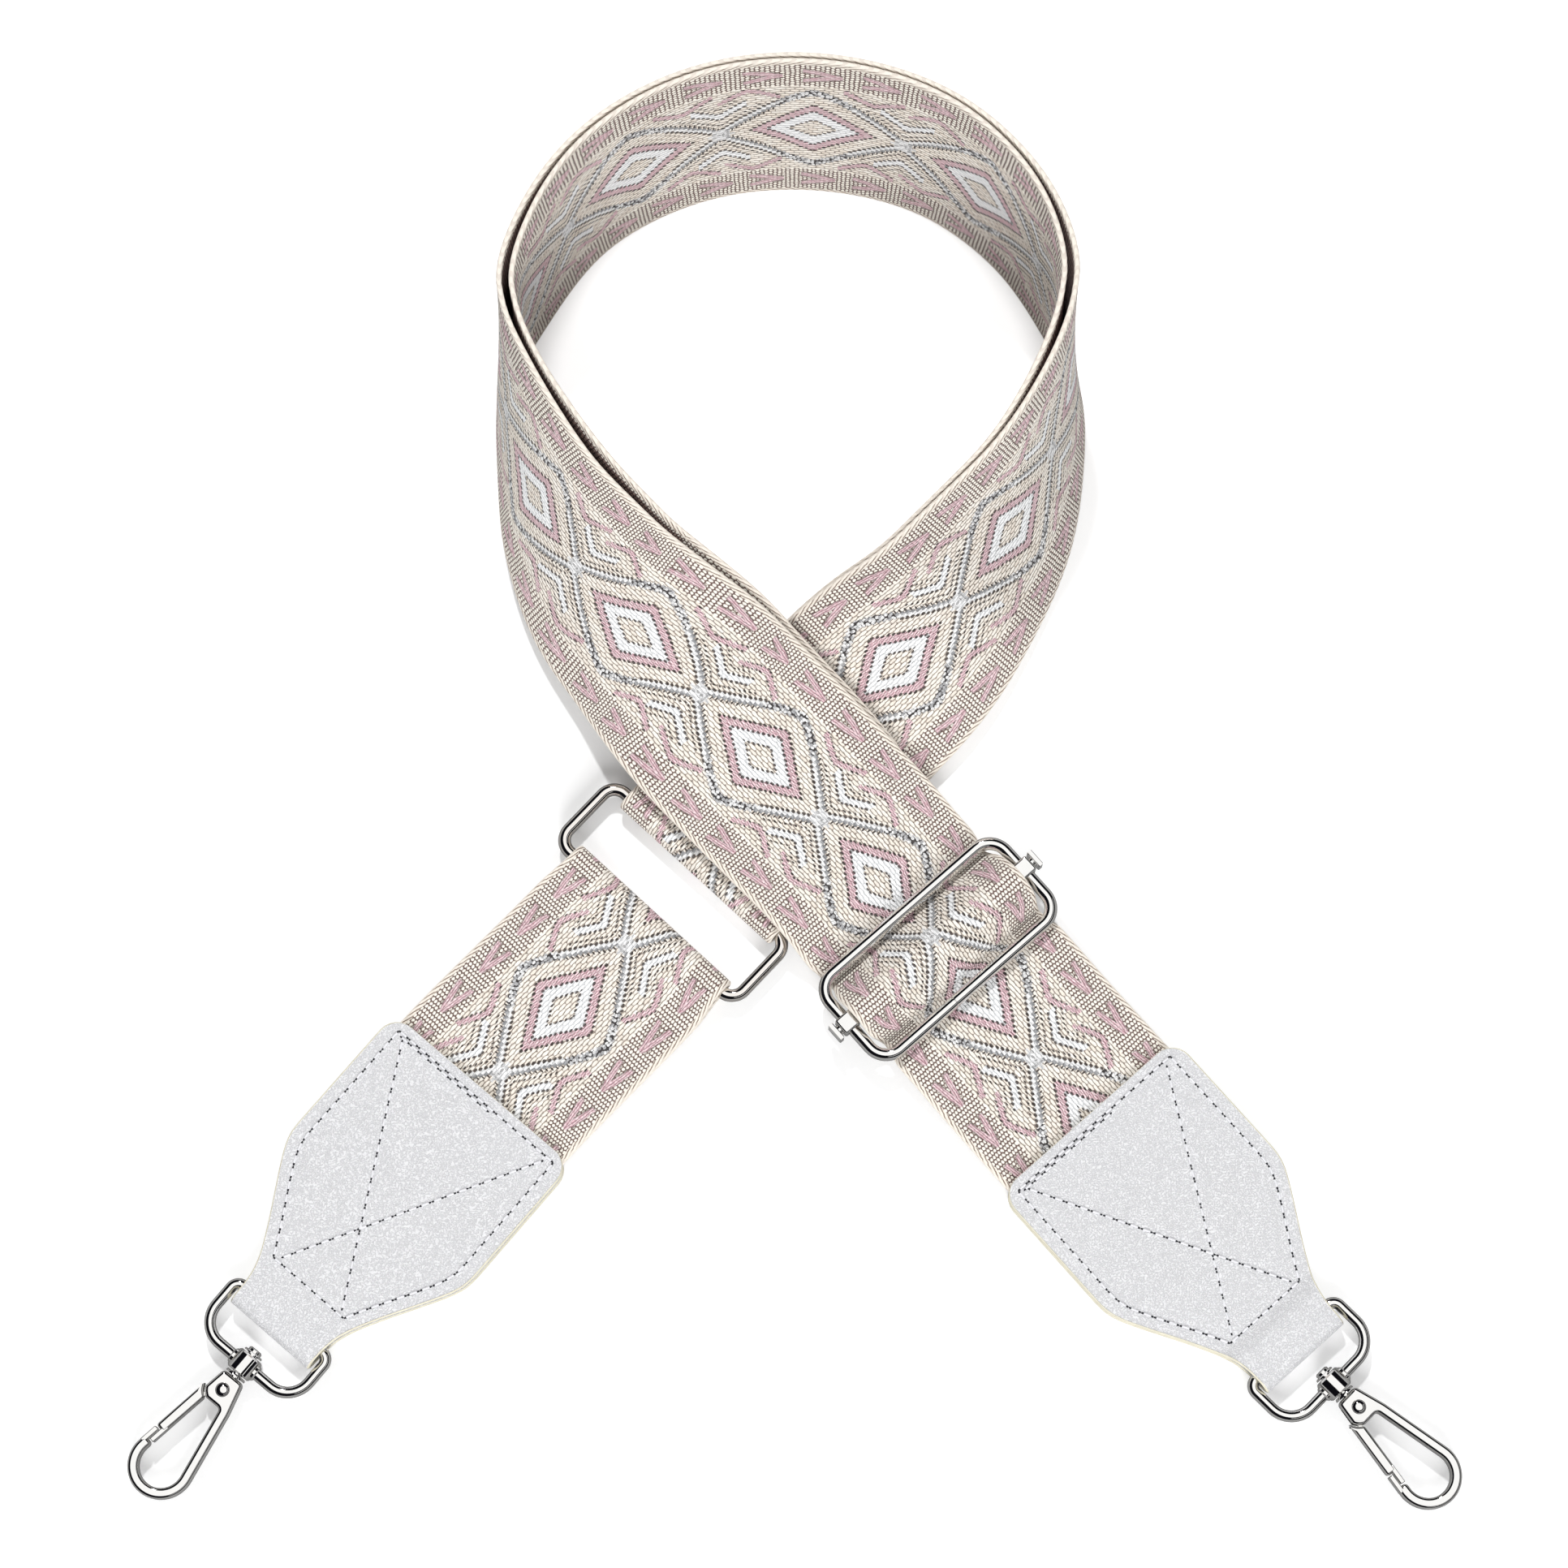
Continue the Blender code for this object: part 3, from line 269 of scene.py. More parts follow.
def sample_rows(rows, step):
    marks = [0.0]
    for before, after in zip(rows, rows[1:]):
        marks.append(marks[-1] + math.dist(before[:2], after[:2]))
    slopes = []
    for i in range(len(rows)):
        low, high = max(0, i - 1), min(len(rows) - 1, i + 1)
        span = marks[high] - marks[low]
        slopes.append([(b - a) / span for a, b in zip(rows[low], rows[high])])
    samples = []
    for i in range(len(rows) - 1):
        span = marks[i + 1] - marks[i]
        count = max(1, round(span / step))
        for j in range(count + (i == len(rows) - 2)):
            t = j / count
            h00, h01 = 2 * t**3 - 3 * t**2 + 1, 3 * t**2 - 2 * t**3
            h10, h11 = (t**3 - 2 * t**2 + t) * span, (t**3 - t**2) * span
            samples.append(
                [
                    h00 * a + h01 * b + h10 * da + h11 * db
                    for a, b, da, db in zip(rows[i], rows[i + 1], slopes[i], slopes[i + 1])
                ]
            )
    return samples


# ---- webbing


def eased(samples, passes=24):
    """The samples with the small kinks between the rows taken out, the first few left as they are."""
    values = np.array(samples)
    share = np.clip((np.arange(len(values)) - 6) / 6, 0.0, 1.0) * np.clip(
        (len(values) - 1 - np.arange(len(values))) / 6, 0.0, 1.0
    )
    for _ in range(passes):
        middle = values[1:-1] * 0.5 + (values[:-2] + values[2:]) * 0.25
        values[1:-1] += (middle - values[1:-1]) * share[1:-1, None]
    return values.tolist()


def route_frames(rows):
    """Middle, direction along and across, normal, half gap between the plies and half width."""
    samples = eased(sample_rows(rows, 0.0016))
    travelled = [0.0]
    for before, after in zip(samples, samples[1:]):
        travelled.append(travelled[-1] + math.dist(before[:2], after[:2]))
    middles = []
    flares = []
    for (x, y, tilt, lift, _), distance in zip(samples, travelled):
        flare = 1 - smoothstep(distance / RING_FLARE)
        angle = math.radians(tilt)
        height = HALF * abs(math.sin(angle)) + STACK_MIDDLE * abs(math.cos(angle)) + lift
        flares.append(flare)
        middles.append(Vector((x, y, height + (FOLD_HEIGHT - height) * flare)))
    frames = []
    for i, (middle, sample) in enumerate(zip(middles, samples)):
        along = middles[min(i + 1, len(middles) - 1)] - middles[max(i - 1, 0)]
        if i == 0:
            along.z = 0.0
        along.normalize()
        level = Vector((along.x, along.y, 0.0)).normalized()
        angle = math.radians(sample[2])
        across = UP.cross(level) * math.cos(angle) + UP * math.sin(angle)
        across = (across - along * across.dot(along)).normalized()
        apart = (THICK + GAP + PLY_SPREAD * max(0.0, sample[4])) / 2
        apart += (FOLD_RADIUS - apart) * flares[i]
        half = HALF - DRAW_IN * flares[i]
        frames.append((middle, along, across, along.cross(across), apart, half))
    return frames, travelled


def ply(frames, side):
    """The middles, directions across and half widths of one ply; the outer side is 1."""
    made = []
    for middle, _, across, normal, apart, half in frames:
        made.append((middle + normal * (apart * side), across, half))
    return made


def fold_stations(frames, steps=14):
    bar, along, across, normal, apart, half = frames[0]
    turn = []
    for step in range(1, steps):
        angle = math.pi * step / steps
        middle = bar - normal * (apart * math.cos(angle)) - along * (apart * math.sin(angle))
        turn.append((middle, across, half))
    return turn


def long_rows():
    under, over, end = heading(UNDER_HEADING), heading(OVER_HEADING), heading(END_HEADING)
    rows = [(-under.x * FAR_BAR, -under.y * FAR_BAR, 0.0, 0.0, 0.0)]
    for share, tilt in UNDER_ROWS:
        place = under * (CROSSING_HALF * share)
        rows.append((place.x, place.y, tilt, 0.0, 0.0))
    for x, y, tilt, lift, spread in LOOP_ROWS:
        rows.append((x * LOOP_LENGTH, y * LOOP_LENGTH, tilt, lift * EDGE_LIFT, spread))
    for share, tilt, lift in OVER_ROWS:
        place = (over if share < 0 else end) * (CROSSING_HALF * share)
        rows.append((place.x, place.y, tilt, lift * EDGE_LIFT, 0.0))
    last = SLIDER_DISTANCE - ANCHOR_START
    for place in (last - LEG_END_LEVEL, last - LEG_END_LEVEL / 2, last):
        rows.append((end.x * place, end.y * place, 0.0, PITCH, 0.0))
    return rows


def short_rows():
    away = -heading(UNDER_HEADING)
    bar = away * (FAR_BAR + RING_SPACING)
    top = bar + away * SHORT_FREE + UP.cross(-away) * SHORT_DRIFT
    lift = LEATHER + GAP
    rows = [(*(bar + away * (SHORT_FREE * share)).xy, 0.0, lift, 0.0) for share in (0, 0.3)]
    rows += [(*bar.lerp(top, 0.7).xy, 0.0, lift, 0.0), (*top.xy, 0.0, lift, 0.0)]
    inside = heading(LEFT_HEADING)
    for share in (0.5, 1.0):
        rows.append((*(top + inside * (TAB_INSIDE * share)).xy, 0.0, lift, 0.0))
    return rows, top


def climb(foot, level, radius):
    distance = math.hypot(foot, level)
    slope = math.atan2(-level, foot) + math.asin(radius / distance)
    bend = foot * 0.08
    corner = [(-foot - bend, level), (-foot + bend * math.cos(slope), level + bend * math.sin(slope))]
    return corner, 90 + math.degrees(slope)


def drawn_half(x):
    share = smoothstep((abs(x) - THROUGH_REACH) / (ANCHOR_START - THROUGH_REACH))
    return HALF - DRAW_IN + DRAW_IN * share


def rounded(profile, passes=2):
    """A polyline with its corners cut, so that a bend looks soft."""
    for _ in range(passes):
        made = [profile[0]]
        for (ax, ay), (bx, by) in zip(profile, profile[1:]):
            made.append((ax * 0.75 + bx * 0.25, ay * 0.75 + by * 0.25))
            made.append((ax * 0.25 + bx * 0.75, ay * 0.25 + by * 0.75))
        made.append(profile[-1])
        profile = made
    return profile


def placed(profile, matrix, half_of):
    turn = matrix.to_3x3()
    across = turn @ Vector((0.0, 1.0, 0.0))
    return [(matrix @ Vector((x, 0.0, z)), across, half_of(x)) for x, z in profile]


def strip(name, stations, start_mm, columns=26, slip=None, crowns=None):
    """A woven strip with rounded selvages; 'weave' holds mm along, mm across and the side."""
    count = len(stations)
    spans = []
    for degrees in SELVAGE_STEPS:
        angle = math.radians(degrees)
        spans.append((SELVAGE_ROUND * (1 - math.sin(angle)), math.cos(angle)))
    points = []
    weave = []
    travelled = 0.0
    previous = None
    for i, (middle, across, half) in enumerate(stations):
        if previous is not None:
            travelled += (middle - previous).length
        previous = middle
        ahead = stations[min(i + 1, count - 1)][0] - stations[max(i - 1, 0)][0]
        normal = ahead.normalized().cross(across).normalized()
        offsets = [(-half + inset, share) for inset, share in spans]
        inner = half - SELVAGE_ROUND
        offsets += [(-inner + 2 * inner * j / columns, 1.0) for j in range(columns + 1)]
        offsets += [(half - inset, share) for inset, share in reversed(spans)]
        ring = [(y, share, 1.0) for y, share in offsets]
        ring += [(y, share, -1.0) for y, share in reversed(offsets[1:-1])]
        crown = crowns[i] if crowns else 0.0
        moved = slip(travelled * 1000) if slip else 0.0
        for y, share, side in ring:
            bulge = crown * (1 - (y / half) ** 2)
            points.append(middle + across * y + normal * (side * share * THICK / 2 + bulge))
            face = 1.0 if abs(y) > inner - 1e-6 else side
            weave.append((start_mm + travelled * 1000 + moved, y / half * 25.0, face))
    obj = mesh_object(name, points, skin(count, len(points) // count))
    point_layer(obj, "weave", "FLOAT_VECTOR", "vector", weave)
    clean(obj, 60.0)
    return obj, start_mm + travelled * 1000 + moved


# ---- shader arithmetic


class Value:
    """A shader number that can be added, multiplied and compared."""

    def __init__(self, tree, socket):
        self.tree = tree
        self.socket = socket

    def make(self, operation, *others):
        node = self.tree.nodes.new("ShaderNodeMath")
        node.operation = operation
        for slot, item in zip(node.inputs, (self, *others)):
            put(self.tree, item, slot)
        return Value(self.tree, node.outputs[0])

    def __rsub__(self, other):
        return (self * -1.0) + other

    def below(self, edge, soft=0.08):
        """1 where this is under the edge, 0 where it is over."""
        return ramp(edge - self, -soft, soft)

    def above(self, edge, soft=0.08):
        return ramp(self - edge, -soft, soft)


OPERATIONS = {
    "__add__": "ADD",
    "__radd__": "ADD",
    "__sub__": "SUBTRACT",
    "__mul__": "MULTIPLY",
    "__truediv__": "DIVIDE",
    "__abs__": "ABSOLUTE",
    "low": "MINIMUM",
    "high": "MAXIMUM",
    "floor": "FLOOR",
    "wrap": "FLOORED_MODULO",
    "root": "SQRT",
    "sine": "SINE",
}
for method, operation in OPERATIONS.items():
    setattr(Value, method, lambda self, *others, kind=operation: self.make(kind, *others))


def put(tree, item, slot):
    if isinstance(item, Value):
        item = item.socket
    if hasattr(item, "is_output"):
        tree.links.new(item, slot)
    else:
        slot.default_value = item


def feed(tree, node, inputs):
    for name, item in inputs.items():
        put(tree, item, node.inputs[name])


def add_node(tree, kind, inputs, **settings):
    node = tree.nodes.new("ShaderNode" + kind)
    for name, setting in settings.items():
        setattr(node, name, setting)
    feed(tree, node, inputs)
    return node


def ramp(value, start, end):
    inputs = {"Value": value, "From Min": start, "From Max": end}
    node = add_node(value.tree, "MapRange", inputs, interpolation_type="SMOOTHSTEP")
    return Value(value.tree, node.outputs["Result"])


def mix(tree, share, under, over):
    """A colour between two; the Mix node's colour sockets are its inputs 6 and 7."""
    under, over = ((*item, 1.0) if isinstance(item, tuple) else item for item in (under, over))
    node = add_node(tree, "Mix", {0: share, 6: under, 7: over}, data_type="RGBA")
    return node.outputs[2]


def noise(tree, vector, scale, detail=2.0, roughness=0.5):
    inputs = {"Vector": vector, "Scale": scale, "Detail": detail, "Roughness": roughness}
    return Value(tree, add_node(tree, "TexNoise", inputs).outputs["Fac"])


def combine(tree, x, y):
    return add_node(tree, "CombineXYZ", {"X": x, "Y": y}).outputs[0]


def separate(tree, vector):
    return [Value(tree, output) for output in add_node(tree, "SeparateXYZ", {0: vector}).outputs]


def attribute(tree, name, output="Fac"):
    return Value(tree, add_node(tree, "Attribute", {}, attribute_name=name).outputs[output])


def object_place(tree):
    return add_node(tree, "TexCoord", {}).outputs["Object"]


def bump(tree, height, distance, strength=1.0):
    inputs = {"Distance": distance, "Strength": strength, "Height": height}
    return add_node(tree, "Bump", inputs).outputs["Normal"]


def rgb(red, green, blue):
    """A colour given as the eye reads it, 0 to 255, in the linear values that a shader takes."""
    made = []
    for part in (red, green, blue):
        share = part / 255
        made.append(share / 12.92 if share <= 0.04045 else ((share + 0.055) / 1.055) ** 2.4)
    return tuple(made)


def layered(tree, colour, *layers):
    """A colour with others laid over it by their shares, each a socket or 0 to 255 as for rgb."""

    def ready(item):
        return rgb(*item) if isinstance(item, tuple) else item

    colour = ready(colour)
    for share, over in layers:
        colour = mix(tree, share, colour, ready(over))
    return colour


def new_material(name):
    made = bpy.data.materials.new(name)
    made.use_nodes = True
    return made, made.node_tree, made.node_tree.nodes["Principled BSDF"]


# ---- the woven pattern

REPEAT = 41.3
CELL = REPEAT / 40
BEAD = 0.81
TWILL = 0.56
MARK_REPEAT = REPEAT / 3.3173
MARK_FROM_MIDDLE = 19.8
FIELD_EDGE = 16.0
SELVAGE_EDGE = 23.7


def chance_of(tree, first, second):
    inputs = {"Vector": combine(tree, first, second)}
    return Value(tree, add_node(tree, "TexWhiteNoise", inputs, noise_dimensions="2D").outputs["Value"])


def spot(distance, half_distance, phase, half_phase):
    """Under 1 inside an oval of these half sizes."""
    return distance * distance / half_distance**2 + phase * phase / half_phase**2


def webbing_material():
    made, tree, shader = new_material("jacquard_webbing")
    along, across, side = separate(tree, attribute(tree, "weave", "Vector"))

    wobble = noise(tree, combine(tree, along, across), 0.5, 1.0) - 0.5
    flutter = noise(tree, combine(tree, along + 31.0, across), 1.5, 1.0) - 0.5
    along = along + wobble * 0.5
    across = across + wobble * 0.35 + flutter * 0.30
    away = abs(across)
    column = (along / CELL).floor()
    phase = along / CELL - column - 0.5
    stepped = (column + 0.5) * CELL
    signed = (stepped + REPEAT / 2).wrap(REPEAT) - REPEAT / 2
    near = abs(signed)
    node_near = REPEAT / 2 - near
    facing = signed.above(0.0, 0.01) * 2 - 1

    # Edges of the nested diamonds, as distances across
    centre_edge = 3.2 - near * (3.2 / 5.5)
    white_edge = 6.5 - near * (6.5 / 10.4)
    pink_edge = 8.8 - near * (8.8 / 13.9)
    lattice = (9.06 - (near - 8.5) * 0.68).low(14.0 - ((near * near + 1.2).root()) * 0.53)
    arm = near.above(8.5, 0.3)
    chevron_low = 5.8 + node_near * 0.62
    chevron_high = chevron_low + 2.1
    off_lattice = away - lattice
    grey_side = off_lattice * facing

    # Dark stitches that tie each edge down, one in every column
    by_node = node_near.above(6.2, 0.2) * 9
    edge_off = (abs(away - centre_edge) + 0.04).low(abs(away - white_edge))
    edge_off = edge_off.low(abs(away - pink_edge - 0.1))
    edge_off = edge_off.low(abs(off_lattice - 2.7) + 0.08 + node_near.above(9.5, 0.3) * 4)
    edge_off = edge_off.low(abs(away - chevron_low) + by_node).low(abs(away - chevron_high) + by_node)
    edge_off = edge_off.low(abs(away - chevron_high - 1.7) + 0.10 + node_near.above(4.6, 0.2) * 9)
    luck = chance_of(tree, column, (away * 0.6).floor())
    tie = spot(edge_off + (luck - 0.5) * 0.12, 0.27, phase + (luck - 0.5) * 0.25, 0.42)
    field = away.below(FIELD_EDGE, 0.2)
    ties = tie.below(0.68 + luck * 0.9, 0.35) * field
    arm_ties = spot(grey_side + 1.22, 0.34, phase, 0.46).below(1.0, 0.4) * arm
    hairs = spot(grey_side - 1.25, 0.50, phase, 0.20).below(0.6 + luck * 0.8, 0.4) * arm
    ties = ties.high(arm_ties).high(hairs)

    # Two rows of pink chevrons between the lattice and the ribbed border
    first = abs(signed - 12.7)
    first_off = away - 11.8 - ((first * first + 0.5).root() - 0.7) * 0.53
    first_out = first.above(6.6, 0.2) * 9
    second = abs(signed + 13.9)
    second_off = away - 14.9 + ((second * second + 0.8).root() - 0.9) * 0.54
    second_out = second.above(6.4, 0.2) * 9
    chevrons = (abs(first_off) + first_out).low(abs(second_off) + second_out).below(0.70, 0.10)
    rim_off = (abs(abs(first_off) - 0.80) + first_out).low(abs(abs(second_off) - 0.80) + second_out)
    pink_ties = spot(rim_off, 0.22, phase, 0.42).below(luck * 1.3 - 0.1, 0.35) * away.below(16.6, 0.2)
    ties = ties.high(pink_ties)

    # Pink marks in the border, pointing along the webbing
    behind = (7.0 - along).wrap(MARK_REPEAT)
    mark_line = abs(away - MARK_FROM_MIDDLE) - behind * 0.215
    mark_off = abs(mark_line) + abs(behind - 4.4) * 0.045
    mark = mark_off.below(0.74, 0.08) * behind.below(8.3, 0.2)
    mark_rim = spot(mark_off - 0.92, 0.22, phase, 0.42).below(luck * 1.4 - 0.1, 0.3)
    mark_rim = mark_rim * behind.below(8.5, 0.2)

    pink_ring = away.below(pink_edge)
    white_ring = away.below(white_edge)
    centre = away.below(centre_edge)
    white_chevron = away.above(chevron_low) * away.below(chevron_high) * node_near.below(5.9, 0.2)
    pale = (white_ring * (1 - centre)).high(white_chevron)
    rosy = (pink_ring * (1 - white_ring)).high(chevrons * field).high(mark)

    # Silver: two satin lines on the arms, and a chain of knots round each diamond's broad corner
    knot = (node_near / 3.0 + away / 2.5).below(1.0, 0.1)
    satin = (abs(off_lattice).below(0.92, 0.08) * arm).high(knot)
    split = grey_side.above(0.08, 0.12)
    chain = abs(off_lattice).below(1.15, 0.25) * (1 - arm)
    inputs = {"Vector": combine(tree, along * 1.0, across * 1.25), "Scale": 1.15, "Randomness": 0.8}
    knots = add_node(tree, "TexVoronoi", inputs, voronoi_dimensions="2D")
    hollow = Value(tree, knots.outputs["Distance"])
    pick = separate(tree, knots.outputs["Color"])[0]

    # Threads: short floats laid like bricks in the field, slanted in the pink, beads in the border
    row = (across / BEAD).floor()
    row_phase = across / BEAD - row - 0.5
    brick_length = CELL * 2
    shifted = along + row * CELL
    brick = (shifted / brick_length).floor()
    brick_phase = shifted / brick_length - brick - 0.5
    chance = chance_of(tree, row, brick)
    # Each float is painted darker at its rims and ends: painted shade between the floats. The same masks
    # also sink the bump.
    ends = abs(brick_phase).above(0.43, 0.04) * abs(row_phase + 0.2).below(0.24)
    ends = ends * ramp(chance, 0.35, 0.6)
    grain = row_phase * row_phase * 3.6 + brick_phase * brick_phase * 2.2 + chance * 0.15
    groove_and_shade = ramp(grain, 0.50, 1.10)
    streak = noise(tree, combine(tree, along * 0.55, across * 4.2), 1.5, 1.0)
    slant = (away + near * 0.30) / TWILL
    slant = slant + ((mark_line + behind * 0.06) / TWILL - slant) * mark
    twill = abs(slant - slant.floor() - 0.5)
    twill_dark = twill.above(0.35, 0.09)
    fuzz = noise(tree, combine(tree, along * 2.2, across * 4.5), 1.0, 2.0)
    bead_row = across / BEAD + column * 0.5
    bead_phase = bead_row - bead_row.floor() - 0.5
    bead = 1 - (phase * phase * 3.0 + bead_phase * bead_phase * 3.0)
    selvage = away.above(SELVAGE_EDGE, 0.12)
    lines = away * 1.35 - along * 0.39
    herring = abs(lines - lines.floor() - 0.5).below(0.36, 0.1).high(away.above(24.6, 0.15) * 0.8)
    beads = (1 - field) * (1 - selvage)

    beige = layered(
        tree,
        (255, 251, 243),
        (chance, (248, 239, 227)),
        (ramp(streak, 0.35, 0.75) * 0.38, (214, 198, 182)),
        # painted shade in the grooves between floats and at their ends
        (groove_and_shade * 0.85, (152, 133, 119)),
        (ends * 0.60, (112, 96, 84)),
    )
    # Each bead is pale at its crown and dark between beads: the warp showing in the gaps, with painted
    # shade.
    beaded = (ramp(bead, 0.24, 0.76), (255, 251, 240)), (fuzz * 0.12, (226, 208, 196))
    pink = layered(
        tree,
        (243, 208, 215),
        (chance, (226, 186, 195)),
        # pale streaks: painted highlights on the pink floats
        (ramp(streak, 0.40, 0.62) * 0.85, (255, 238, 239)),
        (twill_dark * 0.80, (156, 100, 111)),
    )
    # The white motifs are greyed in the grooves between floats: painted shade.
    glint, white_groove_shade = ramp(streak, 0.4, 0.8) * 0.5, groove_and_shade * 0.28
    white = layered(tree, (255, 255, 255), (glint, (222, 228, 234)), (white_groove_shade, (190, 196, 202)))
    # The silver is paler grey along noise streaks.
    dull, grey_streaks = split * (1 - knot * 0.75), ramp(streak, 0.35, 0.7) * 0.45
    silver = layered(tree, (255, 255, 255), (dull, (146, 146, 148)), (grey_streaks, (204, 205, 207)))
    dull, gaps = ramp(pick, 0.45, 0.7), ramp(hollow, 0.42, 0.56)
    chained = layered(tree, (255, 255, 255), (dull, (190, 190, 192)), (gaps, (70, 66, 66)))
    reverse = layered(tree, (150, 118, 118), (fuzz, (196, 172, 158)))
    tied = ties * (1 - satin * 0.6) * (1 - chain * 0.5) * 0.92
    back = side.below(-0.5, 0.2)
    colour = layered(
        tree,
        beige,
        (beads, layered(tree, (108, 81, 76), *beaded)),
        (selvage, layered(tree, (140, 118, 104), (herring, (238, 230, 219)))),
        (rosy, pink),
        (pale, white),
        (satin, silver),
        (chain, chained),
        (tied, layered(tree, (50, 40, 38), (pale, (74, 64, 62)))),
        (mark_rim * 0.7, (92, 70, 68)),
        (back, layered(tree, (96, 72, 72), (ramp(bead, 0.1, 0.8), reverse))),
    )

    metal = satin.high(chain) * (1 - back)
    gloss = 0.76 - metal * 0.42 - pale.high(rosy) * 0.14 + fuzz * 0.1
    height = field * 0.5 - groove_and_shade * field * 0.75 - ends * field * 0.4
    height = height + bead * beads * 0.9 + streak * field * 0.5
    height = height + herring * selvage * 0.4 + mark * 0.5 + rosy * 0.15 + satin * 0.4 - ties * 0.8
    height = height - twill_dark * rosy * 0.4 - hollow * chain * 1.4
    plain = {"Sheen Weight": 0.1, "Sheen Roughness": 0.5, "Specular IOR Level": 0.3}
    normal = bump(tree, height, 0.00034)
    feed(tree, shader, {"Base Color": colour, "Roughness": gloss, "Normal": normal, **plain})
    return made


def leather_material():
    made, tree, shader = new_material("white_leather")
    place = object_place(tree)
    grain = noise(tree, place, 1700.0, 2.0, 0.55)
    fine = noise(tree, place, 3600.0, 2.0, 0.6)
    broad = noise(tree, place, 45.0, 3.0, 0.5)
    wrinkle = abs(grain - 0.5) * 2
    rim = attribute(tree, "rim")
    colour = layered(
        tree,
        (196, 196, 199),
        (ramp(wrinkle, 0.0, 0.22), (229, 229, 231)),
        (ramp(fine, 0.5, 0.75) * 0.5, (250, 250, 252)),
        (broad * 0.25, (220, 220, 223)),
        (rim, layered(tree, (232, 228, 208), (noise(tree, place, 300.0), (208, 202, 182)))),
    )
    height = (ramp(wrinkle, 0.0, 0.25) + fine * 0.3) * (1 - rim)
    gloss = 0.44 + fine * 0.16 + rim * 0.12
    normal = bump(tree, height, 0.00010, 0.9)
    feed(tree, shader, {"Base Color": colour, "Roughness": gloss, "Normal": normal})
    feed(tree, shader, {"Specular IOR Level": 0.4})
    return made


def thread_material():
    made, tree, shader = new_material("white_thread")
    place = object_place(tree)
    twist = add_node(tree, "TexWave", {"Vector": place, "Scale": 900.0, "Distortion": 1.0})
    strands = Value(tree, twist.outputs["Fac"])
    hole_shade = attribute(tree, "hole_shade")
    # The thread is painted near-black where it dips into the leather: painted shade of the stitch holes.
    colour = layered(tree, (222, 222, 226), (strands, (240, 240, 243)), (hole_shade, (34, 34, 40)))
    normal = bump(tree, strands, 0.00005, 0.6)
    feed(tree, shader, {"Base Color": colour, "Roughness": 0.65, "Normal": normal})
    return made


def metal_material(name, tone):
    made, tree, shader = new_material(name)
    place = object_place(tree)
    haze = noise(tree, place, 260.0, 3.0)
    scuff = noise(tree, place, 1900.0, 2.0)
    colour = mix(tree, haze, tone, tuple(part * 0.95 for part in tone))
    gloss = 0.035 + haze * 0.03 + scuff * 0.02
    normal = bump(tree, haze + scuff * 0.2, 0.00002, 0.35)
    feed(tree, shader, {"Base Color": colour, "Metallic": 1.0, "Roughness": gloss, "Normal": normal})
    return made


WEBBING = webbing_material()
LEATHER_LOOK = leather_material()
THREAD_LOOK = thread_material()
NICKEL = metal_material("bright_nickel", (0.86, 0.85, 0.83))
WARM_NICKEL = metal_material("warm_nickel", (0.84, 0.80, 0.76))


def dress(obj, look):
    obj.data.materials.clear()
    obj.data.materials.append(look)
    return obj


# ---- webbing pieces


def to_world(stations):
    return [(middle + ROOT, across, half) for middle, across, half in stations]


SPLIT_BEFORE_END = 0.090
frames, travelled = route_frames(long_rows())
cut = min(i for i, s in enumerate(travelled) if s > travelled[-1] - SPLIT_BEFORE_END)
late = [i for i, s in enumerate(travelled) if s > travelled[-1] / 2]
crossing = travelled[min(late, key=lambda i: frames[i][0].xy.length)]


def stand_off(distance):
    """How far the outer ply sits to the outside of the loop before and at the crossing."""
    past = distance - crossing
    rise = smoothstep((past + 0.115) / 0.035)
    ease = 1 - 0.35 * smoothstep((past + 0.045) / 0.020)
    return 0.0020 * rise * ease * (1 - smoothstep((past + 0.005) / 0.033))


def outer_crown(distance):
    """How far the middle of the outer ply bulges out where the strap turns over."""
    past = distance - crossing
    return 0.0025 * smoothstep((past + 0.140) / 0.050) * (1 - smoothstep((past + 0.075) / 0.045))


def outside(along):
    return Vector((along.y, -along.x, 0.0)).normalized()


inner = ply(frames, -1)
outer = []
for (middle, across, half), station, distance in zip(ply(frames, 1), frames, travelled):
    outer.append((middle + outside(station[1]) * stand_off(distance), across, half))
crowns = [outer_crown(s) for s in travelled]
leg_frame = frame_at(ROOT, END_HEADING)
slider_frame = leg_frame @ move(SLIDER_DISTANCE, 0.0, SLIDER_PLANE)

OUTER_START = -9.0
loop_inner = to_world(list(reversed(inner[: cut + 1])))
loop_turn = to_world(fold_stations(frames))
loop_outer = to_world(outer[: cut + 1])


def length_mm(stations):
    return sum((b[0] - a[0]).length for a, b in zip(stations, stations[1:])) * 1000


inner_length = length_mm(loop_inner + loop_turn[:1]) + length_mm(loop_turn)
top_station = max(range(len(loop_inner)), key=lambda i: loop_inner[i][0].y)
top_distance = length_mm(loop_inner[: top_station + 1])


def crossing_slip(past):
    """The outer ply's pattern lags a little near the crossing; past is in mm beyond the crossing."""
    return float(np.interp(past, (-220, -90, -70, -50, -8, 31), (0.0, -4.0, -2.2, -1.7, -1.6, 0.0)))


def inner_ply_slip(distance):
    """The inner ply's own phase, given up again where the under leg hides it."""
    if distance > inner_length:
        lag = crossing_slip(distance - whole_length + (travelled[cut] - crossing) * 1000)
        return lag - 16.5 * (1 - smoothstep((distance - outer_top + 115.0) / 230.0))
    from_top = max(-110.0, min(110.0, distance - top_distance))
    own = 9.0 - 0.066 * from_top
    return own + (-16.5 - own) * smoothstep((distance - inner_length + 80.0) / 75.0)


